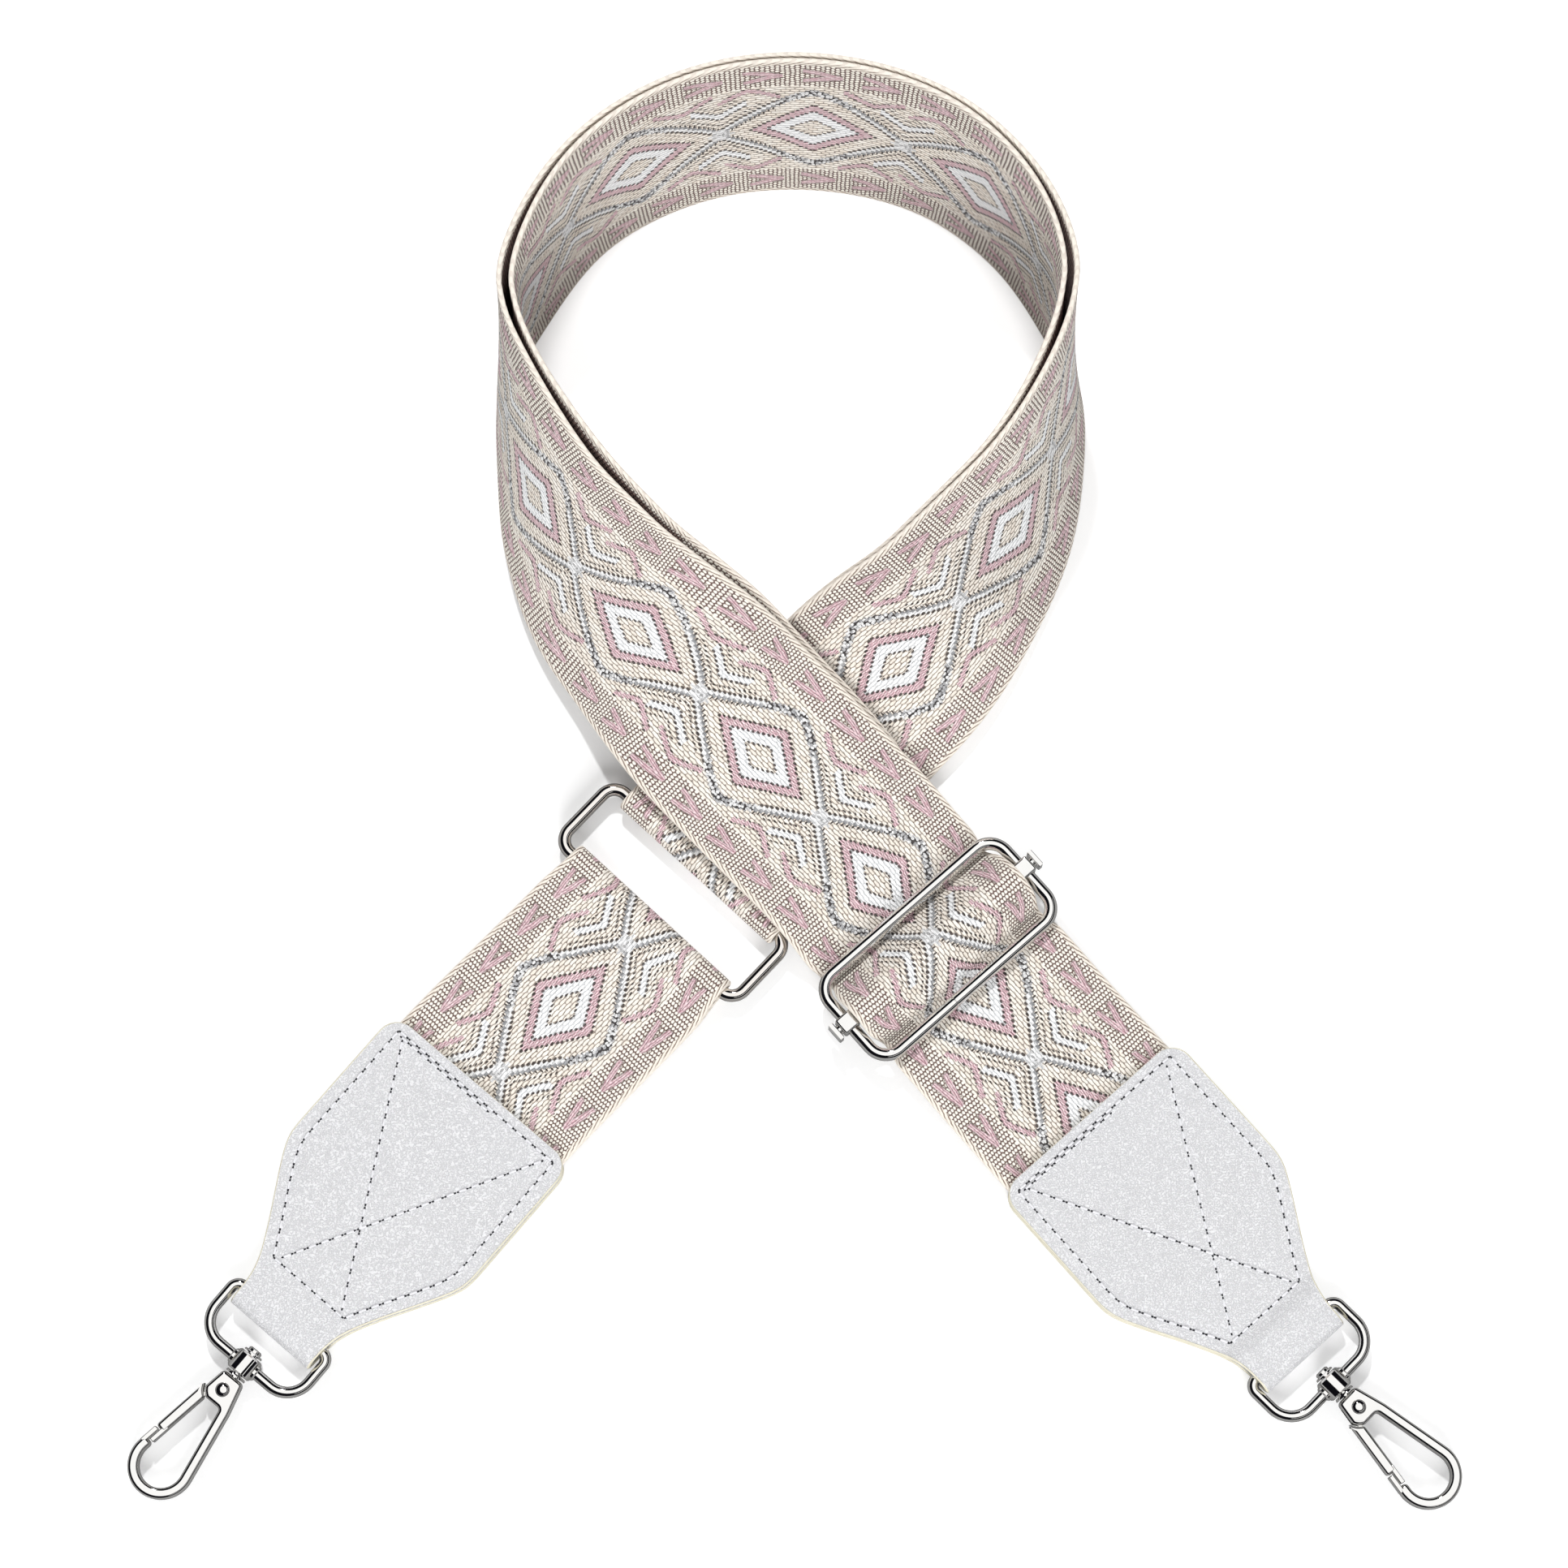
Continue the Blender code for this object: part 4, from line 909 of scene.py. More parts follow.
whole_loop = loop_inner + loop_turn + loop_outer
whole_length = length_mm(whole_loop)
top_station = max(range(len(loop_outer)), key=lambda i: loop_outer[i][0].y)
outer_top = inner_length + length_mm(loop_outer[: top_station + 1])
loop_crowns = [0.0] * (len(loop_inner) + len(loop_turn)) + crowns[: cut + 1]
loop_start = OUTER_START - inner_length
loop, loop_end = strip("loop_webbing", whole_loop, loop_start, slip=inner_ply_slip, crowns=loop_crowns)
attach(loop, "strap")
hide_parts("long_webbing")

level = UNDER_BAR_HEIGHT - SLIDER_PLANE
rise, meet = climb(THROUGH_REACH, level, THROUGH_RADIUS)
profile = [(-ANCHOR_START, level), *rise]
profile += arc(0.0, 0.0, THROUGH_RADIUS, meet, 180 - meet, 16)
profile += [(-x, z) for x, z in reversed(rise)] + [(THROUGH_END, level)]


def hump_half(x):
    """Full inside the frame, drawn in where the ply passes the frame's corners."""
    return drawn_half(x) + 0.0016 * (1 - smoothstep((abs(x) - 0.0050) / 0.0045))


hump = placed(rounded(profile), slider_frame, hump_half)
over_stations = to_world(outer[cut:]) + hump[1:]
over_length = length_mm(over_stations)


def under_bar_slip(distance):
    """Extra webbing that the lower bar of the slider hides."""
    joined_on = crossing_slip((travelled[cut] - crossing) * 1000)
    lag = crossing_slip(distance + (travelled[cut] - crossing) * 1000) - joined_on
    return lag + 2.6 * smoothstep((distance - over_length + 11.0) / 6.0)


over_crowns = crowns[cut:] + [0.0] * (len(hump) - 1)
over_name = "over_leg_outer_webbing"
over_outer, hump_end = strip(
    over_name, over_stations, loop_end, slip=under_bar_slip, crowns=over_crowns
)

level_low = level - PITCH
rise, meet = climb(THROUGH_REACH - 2 * GAP, level_low, ANCHOR_RADIUS)
profile = [(-ANCHOR_START, level_low), *rise]
profile += arc(0.0, 0.0, ANCHOR_RADIUS, meet, -90, 20)
floor_level = THICK / 2 + 0.00005 - SLIDER_PLANE
for share in (0.2, 0.4, 0.6, 0.8, 1.0):
    drop = smoothstep(share / 0.7)
    profile.append((-ANCHOR_TAIL * share, -ANCHOR_RADIUS + (floor_level + ANCHOR_RADIUS) * drop))
anchor = placed(rounded(profile), slider_frame, drawn_half)
tucked = []
for (m, c, h), s in zip(inner[cut:], travelled[cut:]):
    past = s - crossing
    tucked.append((m, c, h - 0.0008 * smoothstep((past - 0.010) / 0.008)))
anchor = [(m, c, min(h, HALF - 0.0008)) for m, c, h in anchor]
over_inner, _ = strip("over_leg_inner_webbing", to_world(tucked) + anchor[1:], 7.0)

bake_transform(over_outer)
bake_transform(over_inner)
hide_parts("webbing_through_slider")
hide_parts("webbing_anchor_fold")

start = SLIDER_DISTANCE + THROUGH_END
low_level = LEATHER + GAP + THICK / 2
profile = []
for step in range(15):
    share = step / 14
    height = UNDER_BAR_HEIGHT + (low_level - UNDER_BAR_HEIGHT) * smoothstep(share)
    profile.append((start + LEG_END_DESCENT * share, height))
tab_start = END_LEG - 0.0005
for share in (0.3, 0.65, 1.0):
    profile.append((start + LEG_END_DESCENT + (tab_start - start - LEG_END_DESCENT) * share, low_level))
profile.append((END_LEG + TAB_INSIDE, low_level))
end_stations = placed(profile, leg_frame, lambda x: HALF)
end_piece, _ = strip("end_leg_webbing", end_stations, hump_end)
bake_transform(end_piece)
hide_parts("long_webbing_end")

rows, tab_top = short_rows()
short_frames, _ = route_frames(rows)
short_turn = fold_stations(short_frames)
short_all = to_world(ply(short_frames, -1)[::-1] + short_turn + ply(short_frames, 1))
short_piece, _ = strip("short_end_webbing", short_all, 0.0)
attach(short_piece, "left_end")
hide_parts("short_webbing")
for piece in (loop, over_outer, over_inner, end_piece, short_piece):
    dress(piece, WEBBING)


# ---- leather tabs


def tab_half_width(x):
    if x < TAB_CORNER:
        return TAB_HALF - TAB_CORNER + math.sqrt(max(0.0, TAB_CORNER**2 - (TAB_CORNER - x) ** 2))
    share = x / TAB_LENGTH
    if share <= TAB_SHARES[0][0]:
        return TAB_HALF
    for (low, wide), (high, narrow) in zip(TAB_SHARES, TAB_SHARES[1:]):
        if share <= high:
            part = wide + (narrow - wide) * (share - low) / (high - low)
            return NECK_HALF + (TAB_HALF - NECK_HALF) * part
    return NECK_HALF


def soft_half_width(x):
    """The tab's half width with the outline's corners eased."""
    if x < TAB_CORNER:
        return tab_half_width(x)
    reach = min(0.0025, x - TAB_CORNER)
    offsets = [reach * k / 4 for k in range(-4, 5)]
    return sum(tab_half_width(x + offset) for offset in offsets) / len(offsets)


def seam_paths():
    low, high = 0.0024, TAB_LENGTH - TAB_POCKET
    right = [(low + (high - low) * k / 60) for k in range(61)]
    right = [(x, min(TAB_HALF, soft_half_width(max(x, TAB_CORNER))) - SEAM_INSET) for x in right]
    top = (low + 0.001, TAB_HALF - SEAM_INSET - 0.002)
    foot = (high - 0.001, right[-1][1] - 0.0015)
    sides = [right, [(x, -y) for x, y in right]]
    across_top = [(low, -right[0][1]), (low, right[0][1])]
    doubled = [(low + 0.0008, -right[0][1] + 0.001), (low + 0.0008, right[0][1] * 0.2)]
    across_foot = [(high, -right[-1][1]), (high, right[-1][1])]
    crosses = [[(top[0], -top[1]), foot], [(top[0], top[1]), (foot[0], -foot[1])]]
    return sides + [across_top, doubled, across_foot] + crosses


def path_length(path):
    return sum(math.dist(a, b) for a, b in zip(path, path[1:]))


def point_on(path, distance):
    for a, b in zip(path, path[1:]):
        span = math.dist(a, b)
        if distance <= span:
            share = distance / span
            return (a[0] + (b[0] - a[0]) * share, a[1] + (b[1] - a[1]) * share)
        distance -= span
    return path[-1]


def near_paths(x, y, paths):
    best = 1.0
    for path in paths:
        for (ax, ay), (bx, by) in zip(path, path[1:]):
            dx, dy = bx - ax, by - ay
            square = dx * dx + dy * dy
            t = 0.0 if square == 0 else max(0.0, min(1.0, ((x - ax) * dx + (y - ay) * dy) / square))
            best = min(best, math.hypot(x - ax - dx * t, y - ay - dy * t))
    return best


def tab_top_height(plies):
    return LEATHER * 1.5 + GAP + plies * PITCH


def tab(side, plies, place, body):
    pocket_start = TAB_LENGTH - TAB_POCKET
    fold_start = TAB_LENGTH - LEATHER / 2 - POCKET_RADIUS
    places = [TAB_CORNER * (1 - math.cos(math.radians(a))) for a in (4, 15, 30, 45, 60, 75, 90)]
    count = 56
    places += [TAB_CORNER + (fold_start - TAB_CORNER) * k / count for k in range(1, count + 1)]
    paths = seam_paths()
    coarse = [path[::6] + [path[-1]] if len(path) > 10 else path for path in paths]

    def profile(flat, pocket):
        made = []
        for x in places:
            made.append((x, flat + (pocket - flat) * smoothstep((x - pocket_start) / POCKET_RISE)))
        return made

    front = profile(tab_top_height(plies), CLASP_HEIGHT + POCKET_RADIUS)
    back = profile(LEATHER / 2, CLASP_HEIGHT - POCKET_RADIUS)
    turn = arc(fold_start, CLASP_HEIGHT, POCKET_RADIUS, 90, -90, 16)[1:-1]
    run = front + turn + list(reversed(back))
    columns = 44
    points, rims = [], []
    for i, (x, z) in enumerate(run):
        ahead = Vector((*run[min(i + 1, len(run) - 1)], 0.0)) - Vector((*run[max(i - 1, 0)], 0.0))
        normal = Vector((-ahead.y, 0.0, ahead.x)).normalized()
        half = soft_half_width(x)
        inner_half = half - RIM_RADIUS
        rounding = []
        for degrees in (80, 50, 20):
            angle = math.radians(degrees)
            out = inner_half + RIM_RADIUS * math.sin(angle)
            rounding.append((out, LEATHER / 2 - RIM_RADIUS * (1 - math.cos(angle)), 1.0))
        offsets = [(-out, depth, rim) for out, depth, rim in rounding]
        for j in range(columns + 1):
            offsets.append((-inner_half + 2 * inner_half * j / columns, LEATHER / 2, 0.0))
        offsets += reversed(rounding)
        on_front = i < len(front)
        for side_sign, listing in ((1.0, offsets), (-1.0, list(reversed(offsets)))):
            for y, depth, rim in listing:
                sink = 0.0
                if side_sign > 0 and on_front and rim == 0.0:
                    near = near_paths(x, y, coarse)
                    sink = 0.00016 * math.exp(-((near / 0.0009) ** 2))
                    from_edge = min(inner_half - abs(y), x)
                    sink += 0.00018 * math.exp(-from_edge / 0.0012)
                local = Vector((x, y, z)) + normal * (side_sign * depth - sink)
                points.append(place @ local)
                rims.append(rim)
    size = len(points) // len(run)
    piece = mesh_object(f"{side}_leather_tab", points, skin(len(run), size))
    rims[:size] = rims[-size:] = [1.0] * size
    point_layer(piece, "rim", "FLOAT", "value", rims)
    clean(piece, 50.0)
    dress(piece, LEATHER_LOOK)
    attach(piece, body)
    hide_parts(f"{side}_tab_leather")
    stitches(side, paths, tab_top_height(plies) + LEATHER / 2, place, body)


def stitches(side, paths, height, place, body):
    """Single stitches laid along each seam, each dipping into the leather at its two ends."""
    points, faces, holes = [], [], []
    last = len(STITCH_SHARES) - 1
    for path in paths:
        total = path_length(path)
        count = max(1, round(total / STITCH_PITCH))
        step = total / count
        for k in range(count):
            rings = []
            for share in STITCH_SHARES:
                distance = k * step + step * (0.02 + 0.96 * share)
                x, y = point_on(path, max(0.0, min(total, distance)))
                rise = math.sin(math.pi * share)
                middle = Vector((x, y, height - 0.00028 + 0.00026 * rise))
                rings.append((middle, STITCH_RADIUS * (0.80 + 0.20 * rise)))
            faces += skin(last + 1, 8, base=len(points))
            for m, (middle, radius) in enumerate(rings):
                ahead = rings[min(m + 1, last)][0] - rings[max(m - 1, 0)][0]
                flat = Vector((ahead.x, ahead.y, 0.0))
                flat = flat.normalized() if flat.length > 1e-9 else Vector((1.0, 0.0, 0.0))
                points += circle(place, middle, UP.cross(flat), UP, radius, 8)
                # The three rings at each end of a stitch carry the painted hole shade.
                holes += [1.0 if m < 3 or m > last - 3 else 0.0] * 8
    piece = mesh_object(f"{side}_tab_stitches", points, faces)
    point_layer(piece, "hole_shade", "FLOAT", "value", holes)
    clean(piece, 180.0)
    dress(piece, THREAD_LOOK)
    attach(piece, body)
    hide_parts(f"{side}_tab_seam_thread", f"{side}_tab_cross_thread")


right_tab = leg_frame @ move(END_LEG)
left_tab = frame_at(tab_top + ROOT, LEFT_HEADING)
tab("right", 1, right_tab, "strap")
tab("left", 2, left_tab, "left_end")


# ---- hardware


def tube(name, outline, radius, place, radii=None):
    """A round wire bent along a closed outline in the plane z = 0 of its frame."""
    points = []
    count, around = len(outline), 20
    for i, (x, y) in enumerate(outline):
        (bx, by), (ax, ay) = outline[i - 1], outline[(i + 1) % count]
        along = Vector((ax - bx, ay - by, 0.0)).normalized()
        out = Vector((along.y, -along.x, 0.0))
        size = radius * (radii[i] if radii else 1.0)
        points += circle(place, Vector((x, y, 0.0)), out, UP, size, around)
    return clean(mesh_object(name, points, skin(count, around, closed=True)))


def two_corner_outline(low_x, high_x, half_y, low_corner, high_corner, shift=0.0, steps=14):
    """A rounded rectangle with one corner radius at its low end and another at its high end."""
    low, high = low_x + low_corner, high_x - high_corner
    below, above = half_y - low_corner, half_y - high_corner
    points = arc(high, above, high_corner, 0, 90, steps) + arc(low, below, low_corner, 90, 180, steps)
    points += arc(low, -below, low_corner, 180, 270, steps) + arc(high, -above, high_corner, 270, 360, steps)
    return [(x, y + shift) for x, y in points]


def turned(name, profile, place, around=28, start=0.0):
    """A solid turned about its frame's X axis, from (distance along, radius) rows."""
    points = []
    for x, radius in profile:
        middle, first = Vector((x, 0.0, 0.0)), Vector((0.0, 1.0, 0.0))
        points += circle(place, middle, first, UP, radius, around, math.radians(start))
    return clean(mesh_object(name, points, skin(len(profile), around)))


def eased_plate(name, outline, half_height, bevel, place, cuts=(), clamp=True):
    """A flat outline of even thickness with rounded rims, and holes cut by helper solids."""
    count = len(outline)
    points = [Vector((x, y, -half_height)) for x, y in outline]
    points += [Vector((x, y, half_height)) for x, y in outline]
    faces = [tuple(reversed(range(count))), tuple(range(count, 2 * count))]
    faces += [(i, (i + 1) % count, (i + 1) % count + count, i + count) for i in range(count)]
    obj = clean(mesh_object(name, points, faces))
    rim = obj.modifiers.new("rim", "BEVEL")
    rim.width = bevel
    rim.segments = 5
    rim.use_clamp_overlap = clamp
    rim.limit_method = "ANGLE"
    rim.angle_limit = math.radians(40.0)
    for tool in cuts:
        step = obj.modifiers.new("cut", "BOOLEAN")
        step.operation = "DIFFERENCE"
        step.object = tool
        step.solver = "EXACT"
    bpy.context.view_layer.update()
    graph = bpy.context.evaluated_depsgraph_get()
    mesh = bpy.data.meshes.new_from_object(obj.evaluated_get(graph))
    obj.modifiers.clear()
    obj.data = mesh
    mesh.transform(place)
    for tool in cuts:
        bpy.data.objects.remove(tool, do_unlink=True)
    return clean(obj)


def box_mesh(name, low, high):
    (ax, ay, az), (bx, by, bz) = low, high
    points = [(x, y, z) for z in (az, bz) for y in (ay, by) for x in (ax, bx)]
    faces = [(0, 1, 3, 2), (4, 5, 7, 6), (0, 1, 5, 4), (2, 3, 7, 6), (0, 2, 6, 4), (1, 3, 7, 5)]
    return clean(mesh_object(name, points, faces))


def joined(name, pieces):
    """One piece made of several overlapping shapes."""
    work = bmesh.new()
    for piece in pieces:
        work.from_mesh(piece.data)
        bpy.data.objects.remove(piece, do_unlink=True)
    mesh = bpy.data.meshes.new(name)
    work.to_mesh(mesh)
    work.free()
    mesh.shade_smooth()
    mesh.set_sharp_from_angle(angle=math.radians(38.0))
    return linked(name, mesh)


def fitted(piece, body, node, look=None):
    dress(piece, look or NICKEL)
    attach(piece, body)
    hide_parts(node)
    return piece


def refine(outline, spacing):
    """The closed outline with points added on its long straight runs."""
    made = []
    for (ax, ay), (bx, by) in zip(outline, outline[1:] + outline[:1]):
        span = math.dist((ax, ay), (bx, by))
        count = max(1, round(span / spacing))
        if span > 1e-7:
            made += [(ax + (bx - ax) * k / count, ay + (by - ay) * k / count) for k in range(count)]
    return made


ring_place = frame_at(ROOT - heading(UNDER_HEADING) * FAR_BAR + UP * FOLD_HEIGHT, UNDER_HEADING + 180)
ring_half = (RING_WIDTH - RING_WIRE) / 2
outline = two_corner_outline(0.0, RING_SPACING, ring_half, RING_CORNER, RING_CORNER, RING_ASIDE)
ring = tube("rectangular_ring", outline, RING_WIRE / 2, ring_place)
fitted(ring, "ring", "rectangle_ring", WARM_NICKEL)

slider_half_x = (SLIDER_DEPTH - SLIDER_WIRE) / 2
slider_half_y = (SLIDER_WIDTH - SLIDER_WIRE) / 2
corners = (SLIDER_CORNER, SLIDER_CORNER)
outline = two_corner_outline(-slider_half_x, slider_half_x, slider_half_y, *corners)
outline = refine(outline, 0.0012)

# The butt seam of the bent wire shows as a narrow groove in one long side
seam_at = (slider_half_x, -0.0048)
near_seam = [math.dist(spot, seam_at) for spot in outline]
closest = near_seam.index(min(near_seam))
seam_steps = (-0.00016, -0.00006, 0.00006, 0.00016)
seam = [(slider_half_x, outline[closest][1] + offset) for offset in seam_steps]
if outline[(closest + 1) % len(outline)][1] < outline[closest][1]:
    seam.reverse()
radii = [1.0] * closest + [1.0, 0.86, 0.86, 1.0] + [1.0] * (len(outline) - closest - 1)
outline = outline[:closest] + seam + outline[closest + 1 :]
frame_place = slider_frame @ move(SLIDER_ASIDE)
wire_frame = tube("slider_wire_frame", outline, SLIDER_WIRE / 2, frame_place, radii)
fitted(wire_frame, "slider_frame_body", "slider_frame")

BAR_RADIUS = 0.0015
BORE_RADIUS = 0.00165
SLEEVE = SLIDER_WIRE / 2 + GAP + 0.0005
SLEEVE_HALF = 0.0021
STUD_NECK = 0.00125
bar_end = slider_half_y - SLIDER_WIRE / 2 - 0.0002
bits = [turned("bar", [(-bar_end, BAR_RADIUS), (bar_end, BAR_RADIUS)], slider_frame @ spin(90))]
for sign in (-1, 1):
    block = [(x * SLEEVE_HALF, y * SLEEVE) for x, y in ((-1, -1), (1, -1), (1, 1), (-1, 1))]
    bore = turned("bore", [(-0.004, BORE_RADIUS), (0.004, BORE_RADIUS)], Matrix.Identity(4))
    wrap_place = slider_frame @ move(0.0, sign * slider_half_y)
    bits.append(eased_plate("sleeve", block, SLEEVE, 0.0006, wrap_place, [bore]))
    outward, face = slider_frame @ spin(90 * sign), slider_half_y + SLEEVE
    bits.append(turned("neck", [(face - 0.0004, STUD_NECK), (face + 0.0012, STUD_NECK)], outward))
    head = ((0.0006, 0.0028), (0.0008, 0.0031), (0.0017, 0.0031), (0.0019, 0.0028))
    head = [(face + beyond, radius) for beyond, radius in head]
    bits.append(turned("head", head, outward, around=4, start=45.0))
fitted(joined("slider_bar_with_sleeves", bits), "slider_bar", "slider_crossbar")

# Clasp sizes along the clasp, measured from the hub's middle
HOOK_THICK = 0.0034
NECK = 0.0028
BAND = 0.0026
PIN_AT = 0.0074
ARM_START = 0.0113
ARM_OFFSET = 0.00345
ARM_ANGLE = math.radians(9.7)
NOSE_AT = 0.0288
CHEEK = 0.0041
LEDGE = 0.0037
TRIM = 0.00005
BLADE = 0.00045
HOOK_START = HUB_LENGTH / 2 + 2 * GAP + 0.0006
LIP, TONGUE = 0.0120, 0.0148


def arm_point(side, distance, offset):
    x = ARM_START + distance * math.cos(ARM_ANGLE) - offset * math.sin(ARM_ANGLE)
    y = ARM_OFFSET + distance * math.sin(ARM_ANGLE) + offset * math.cos(ARM_ANGLE)
    return (x, side * y)


def arm_points(*pairs):
    """Points on the gate's side of the hook."""
    return [arm_point(-1, distance, offset) for distance, offset in pairs]


def hook_outline():
    half = BAND / 2
    turn = 90 + math.degrees(ARM_ANGLE)
    radius = (NOSE_AT - ARM_START) * math.sin(ARM_ANGLE) + ARM_OFFSET * math.cos(ARM_ANGLE)
    points = [(HOOK_START, -NECK), (HOOK_START, NECK), arm_point(1, 0.0, half)]
    points += arc(NOSE_AT, 0.0, radius + half, turn, -turn, 44)
    notch = TONGUE + GAP
    points += arm_points((notch, half), (notch, -half))
    points += arc(NOSE_AT, 0.0, radius - half, -turn, turn, 36)
    inner_x, inner_y = arm_point(1, 0.0, -half)
    ledge, soft = PIN_AT + LEDGE, 0.0009
    slope = math.tan(ARM_ANGLE)
    middle = inner_y + (ledge + soft - inner_x) * slope - soft / math.cos(ARM_ANGLE)
    points += arc(ledge + soft, middle, soft, turn, 180, 8)
    points += arc(PIN_AT, 0.0, CHEEK, -math.degrees(math.acos(LEDGE / CHEEK)), -66.0, 14)
    return points


def clasp(side, tab_place, skew, cant):
    eye_place = tab_place @ frame_at((EYE_BAR, 0.0, CLASP_HEIGHT), skew)
    hub_place = eye_place @ move(EYE_DEPTH)
    hook_place = hub_place @ spin(cant)
    pin_place = hook_place @ move(PIN_AT)

    outline = two_corner_outline(0.0, EYE_DEPTH, EYE_HALF, EYE_LOW_CORNER, EYE_HIGH_CORNER)
    wire = tube("wire", refine(outline, 0.0015), EYE_WIRE / 2, eye_place)
    half = HUB_LENGTH / 2
    eased_radius, eased_end = HUB_RADIUS - HUB_EASE, half - HUB_EASE
    rows = [(-half, HUB_BORE), (-half, eased_radius), (-eased_end, HUB_RADIUS)]
    rows += [(eased_end, HUB_RADIUS), (half, eased_radius), (half, HUB_BORE)]
    bits = [wire, turned("hub", rows, hub_place)]
    for sign in (-1, 1):
        collar = ((-0.0004, 0.0019), (0.0002, 0.0019), (0.0005, 0.0016))
        collar = [(HUB_RADIUS + beyond, radius) for beyond, radius in collar]
        bits.append(turned("collar", collar, hub_place @ spin(90 * sign)))
    fitted(joined(f"{side}_dring_with_hub", bits), f"{side}_eye", f"{side}_swivel_eye")

    head = -half - GAP
    crown = head - 0.0014
    rows = [(crown, 0.0003), (crown, 0.0013), (crown + 0.0003, 0.0017), (head - 0.0005, 0.0017)]
    rows += [(head - 0.0005, 0.0022), (head - 0.0003, 0.0024), (head, 0.0024), (head, 0.0013)]
    flange = ((0.0, 0.0013), (0.0, 0.0024), (0.0003, 0.0026), (0.0006, 0.0026), (0.0006, 0.0010))
    rows += [(half + GAP + beyond, radius) for beyond, radius in flange]
    rows.append((HOOK_START + 0.0012, 0.0010))
    fitted(turned(f"{side}_headed_post", rows, hook_place), f"{side}_hook", f"{side}_swivel_post")

    slot = box_mesh("slot", (0.0052, -0.0065, -0.00075), (PIN_AT + CHEEK + 0.002, 0.00195, 0.00075))
    body = eased_plate("body", hook_outline(), HOOK_THICK / 2, 0.0009, hook_place, [slot], clamp=False)
    half = BAND / 2
    overlap = TONGUE + 0.0016
    face, joint = half - TRIM, GAP / 2
    points = arm_points((LIP, face), (LIP, joint), (overlap, joint), (overlap, face))
    lip = eased_plate("lip", points, HOOK_THICK / 2 - TRIM, 0.0002, hook_place)
    fitted(joined(f"{side}_snap_hook", [body, lip]), f"{side}_hook", f"{side}_hook_body")

    shoulder = LIP - GAP
    root, low, high = shoulder - 0.0016, -joint, -face
    points = arm_points((root, low), (TONGUE, low), (TONGUE, high), (root, high))
    tongue = eased_plate("tongue", points, 0.00155, 0.0002, hook_place)
    points = arm_points((shoulder, half), (shoulder, -half))
    clear = CHEEK + 0.00025
    steps = [0.0030 - 0.00005 * n for n in range(160)]
    for k in range(9):
        offset = -half + 2 * half * k / 8
        beyond = [d for d in steps if math.dist(arm_point(-1, d, offset), (PIN_AT, 0.0)) > clear]
        points.append(arm_point(-1, min(beyond), offset))
    lever = eased_plate("lever", points, 0.0016, 0.0007, hook_place, clamp=False)
    x, y = arm_point(-1, half, 0.0)
    reach = Vector((x - PIN_AT, y, 0.0))
    across = Vector((-reach.y, reach.x, 0.0)).normalized()
    low, high = across * -0.0009, across * 0.00015
    blade = [(PIN_AT + low.x, low.y), (x + low.x, y + low.y)]
    blade += [(x + high.x, y + high.y), (PIN_AT + high.x, high.y)]
    arm = eased_plate("blade", blade, BLADE, 0.0001, hook_place)
    eye = turned("eye", [(-BLADE, 0.00145), (BLADE, 0.00145)], pin_place @ spin(90, "Y"))
    fitted(joined(f"{side}_sprung_gate", [lever, tongue, arm, eye]), f"{side}_gate", f"{side}_gate")

    seat = HOOK_THICK / 2
    foot, sunk = -seat - 0.0004, seat - 0.0001
    rows = [(foot, 0.0003), (foot, 0.0012), (-sunk, 0.0012), (-sunk, 0.0007), (sunk, 0.0007)]
    for degrees in (90, 75, 60, 45, 30, 15, 4):
        angle = math.radians(degrees)
        rows.append((seat + 0.00075 * math.cos(angle), 0.00165 * math.sin(angle)))
    rivet = turned(f"{side}_domed_rivet", rows, pin_place @ spin(-90, "Y"))
    fitted(rivet, f"{side}_hook", f"{side}_gate_pin")
    dress(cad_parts[f"{side}_gate_spring"], NICKEL)


clasp("right", right_tab, 3.75, 0.0)
clasp("left", left_tab, 0.8, 1.0)


# ---- floor, light and camera

ELEVATION = math.radians(77.0)
DISTANCE = 0.950
PIXELS_PER_MM = 5.26
SENSOR = 36.0
FLOOR_HALF = 3.0
FLOOR_DROP = 0.00012
FLOOR_TONE = (0.80, 0.80, 0.80)
MIRRORED_TONE = (0.20, 0.20, 0.20)
MIRRORED_GLOW = 0.3


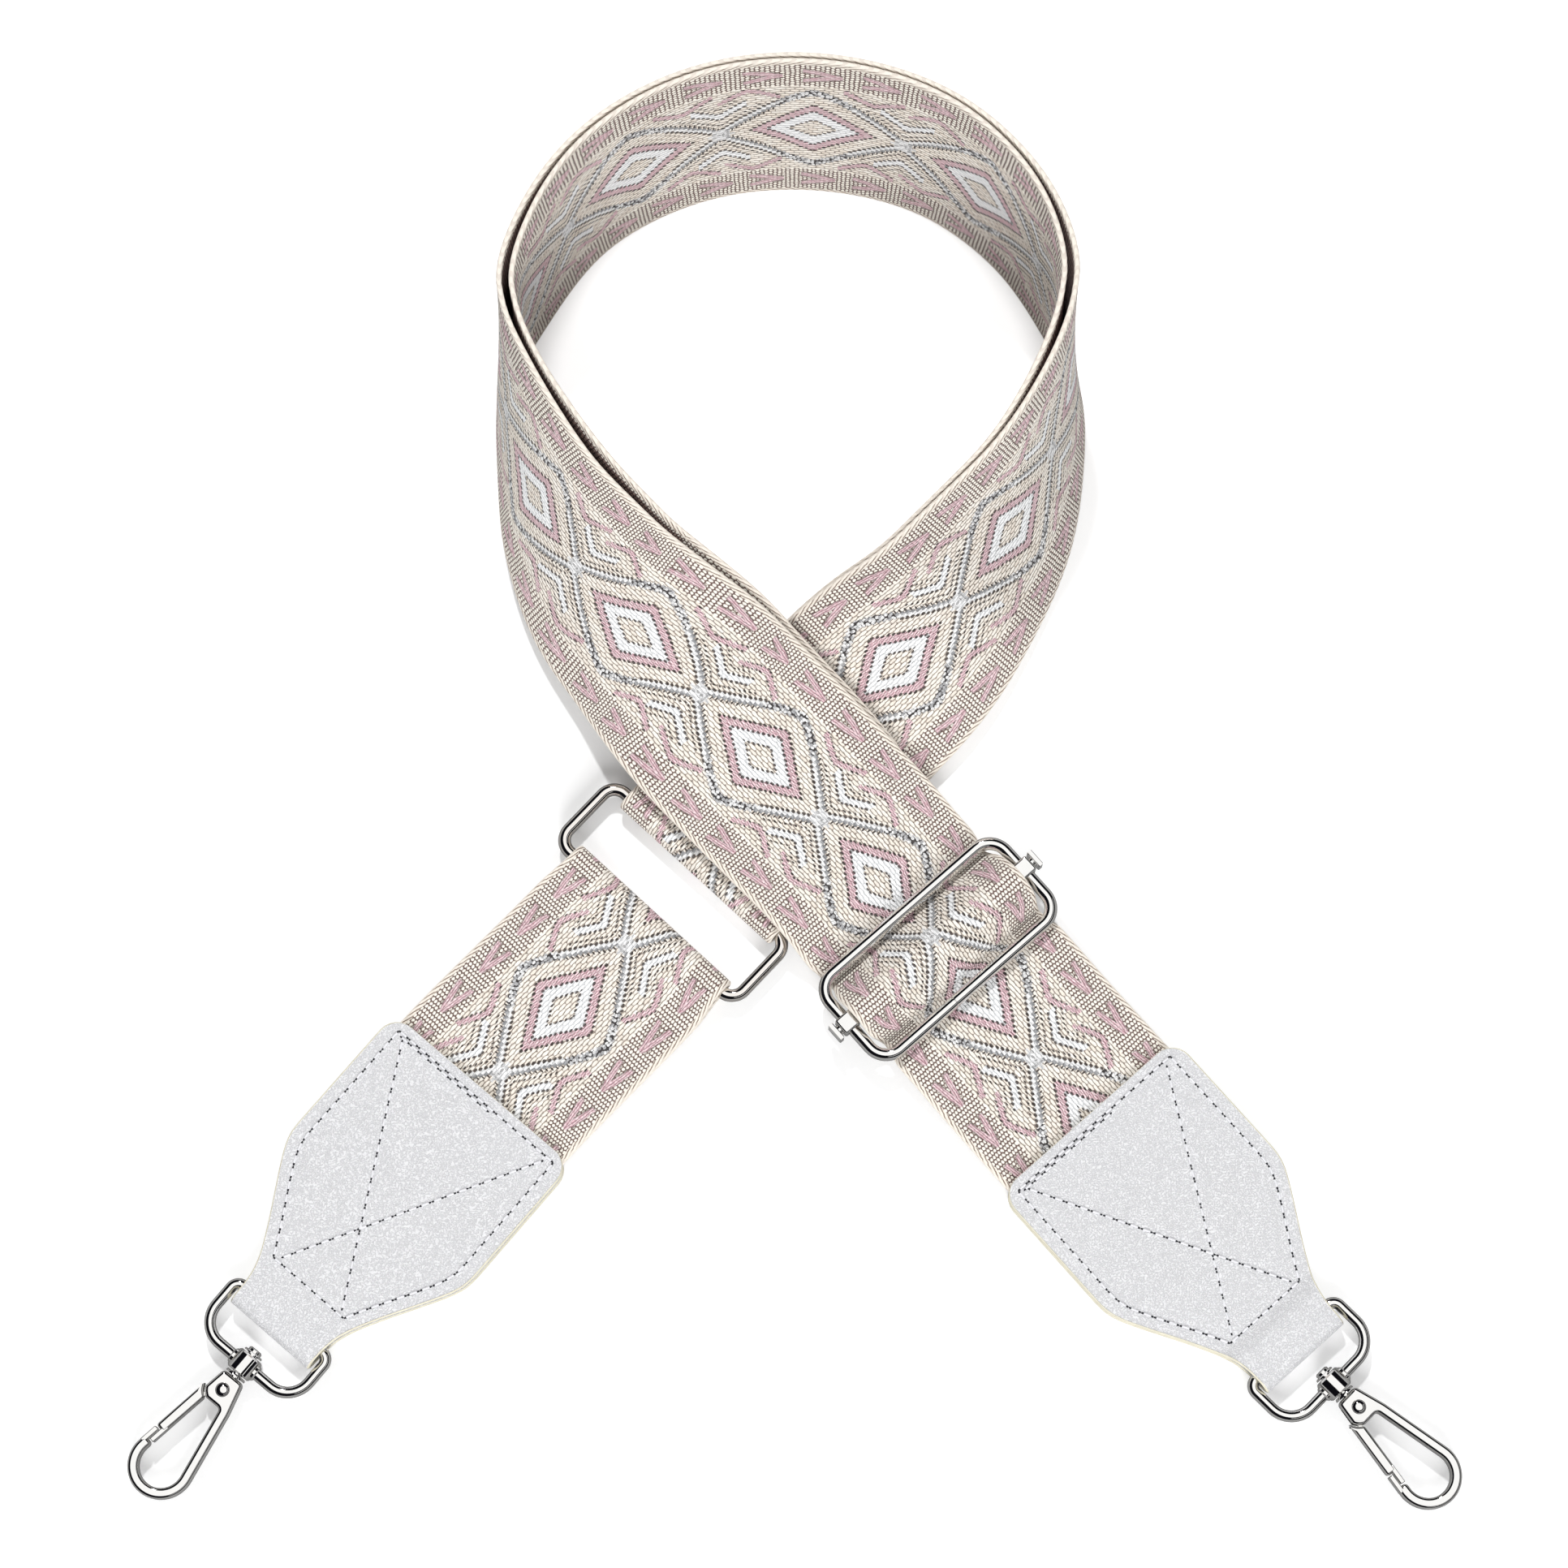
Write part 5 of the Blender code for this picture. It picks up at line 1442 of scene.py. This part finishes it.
def stage_floor():
    corners = [(x * FLOOR_HALF, y * FLOOR_HALF, 0.0) for x, y in ((-1, -1), (1, -1), (1, 1), (-1, 1))]
    floor = mesh_object("floor", corners, [(0, 1, 2, 3)])
    floor.location.z = -FLOOR_DROP
    made, tree, shader = new_material("pale_floor")
    tree.nodes.remove(shader)
    path = add_node(tree, "LightPath", {}).outputs
    mirrored = Value(tree, path["Is Glossy Ray"])
    seen = Value(tree, path["Is Camera Ray"]).high(Value(tree, path["Is Transmission Ray"]))
    seen = seen.high(mirrored * MIRRORED_GLOW)
    x, y, _ = separate(tree, object_place(tree))
    # The floor glows more inside the loop: painted light that washes out the loop wall's shadow.
    painted_light_in_loop = spot(x, 0.064, y - 0.098, 0.057).below(0.88, 0.14)
    # The floor glows less in a band beside the over leg's lower edge: a painted shadow.
    down, out_of = (x + 0.058) - (y - 0.022), (x + 0.058) + (y - 0.022)
    painted_shadow_by_leg = spot(down, 0.066, out_of, 0.030).below(1.0, 0.6)
    far = ramp((x * x + y * y).root(), 0.25, 0.90)
    strength = seen * (painted_light_in_loop * 0.40 - painted_shadow_by_leg * 0.27 + far * 0.75 + 0.36)
    tone = mix(tree, mirrored, FLOOR_TONE, MIRRORED_TONE)
    matt = add_node(tree, "BsdfDiffuse", {"Color": tone})
    glow = add_node(tree, "Emission", {"Color": WHITE, "Strength": strength})
    both = add_node(tree, "AddShader", {0: matt.outputs[0], 1: glow.outputs[0]})
    feed(tree, tree.nodes["Material Output"], {"Surface": both.outputs[0]})
    dress(floor, made)


def studio_world():
    world = bpy.data.worlds.new("studio")
    bpy.context.scene.world = world
    world.use_nodes = True
    tree = world.node_tree
    side, front, rise = separate(tree, add_node(tree, "TexCoord", {}).outputs["Generated"])
    sweep = rise + (side * 3.1 + front * 2.3).sine() * 0.05
    top = sweep.above(0.87, 0.015)
    window = sweep.above(0.60, 0.01) * sweep.below(0.68, 0.01) * (side * 2.0 - front).above(0.9, 0.05)
    low = sweep.below(0.16, 0.05) * 0.4
    bright = top.high(window * 0.8).high(low)
    sky = mix(tree, bright, (0.004, 0.004, 0.006), WHITE[:3])
    path = add_node(tree, "LightPath", {}).outputs
    shown = tree.nodes["Background"]
    feed(tree, shown, {"Color": WHITE, "Strength": 0.38})
    mirror = add_node(tree, "Background", {"Color": sky, "Strength": 1.15})
    plain = add_node(tree, "Background", {"Color": WHITE})
    for ray, other in (("Is Glossy Ray", mirror), ("Is Camera Ray", plain)):
        shown = add_node(tree, "MixShader", {0: path[ray], 1: shown.outputs[0], 2: other.outputs[0]})
    feed(tree, tree.nodes["World Output"], {"Surface": shown.outputs[0]})


def soft_lamp(name, place, size, power):
    lamp = bpy.data.lights.new(name, "AREA")
    lamp.shape = "DISK"
    lamp.size = size
    lamp.energy = power
    obj = linked(name, lamp)
    obj.location = place
    obj.rotation_euler = (-Vector(place)).to_track_quat("-Z", "Y").to_euler()
    obj.visible_glossy = size < 0.5


def photo_camera():
    camera = bpy.data.cameras.new("camera")
    obj = linked("camera", camera)
    toward = Vector((0.0, -math.cos(ELEVATION), math.sin(ELEVATION)))
    obj.location = ROOT + toward * DISTANCE
    obj.rotation_euler = (-toward).to_track_quat("-Z", "Y").to_euler()
    camera.sensor_width = SENSOR
    camera.lens = SENSOR * DISTANCE * 1000 * PIXELS_PER_MM / IMAGE
    camera.clip_start = 0.01
    bpy.context.scene.camera = obj


stage_floor()
studio_world()
soft_lamp("key", (-0.15, 1.05, 1.25), 0.12, 16.5)
soft_lamp("fill", (0.1, -1.3, 0.75), 0.9, 19.0)
photo_camera()
bpy.context.scene.view_settings.view_transform = "Standard"
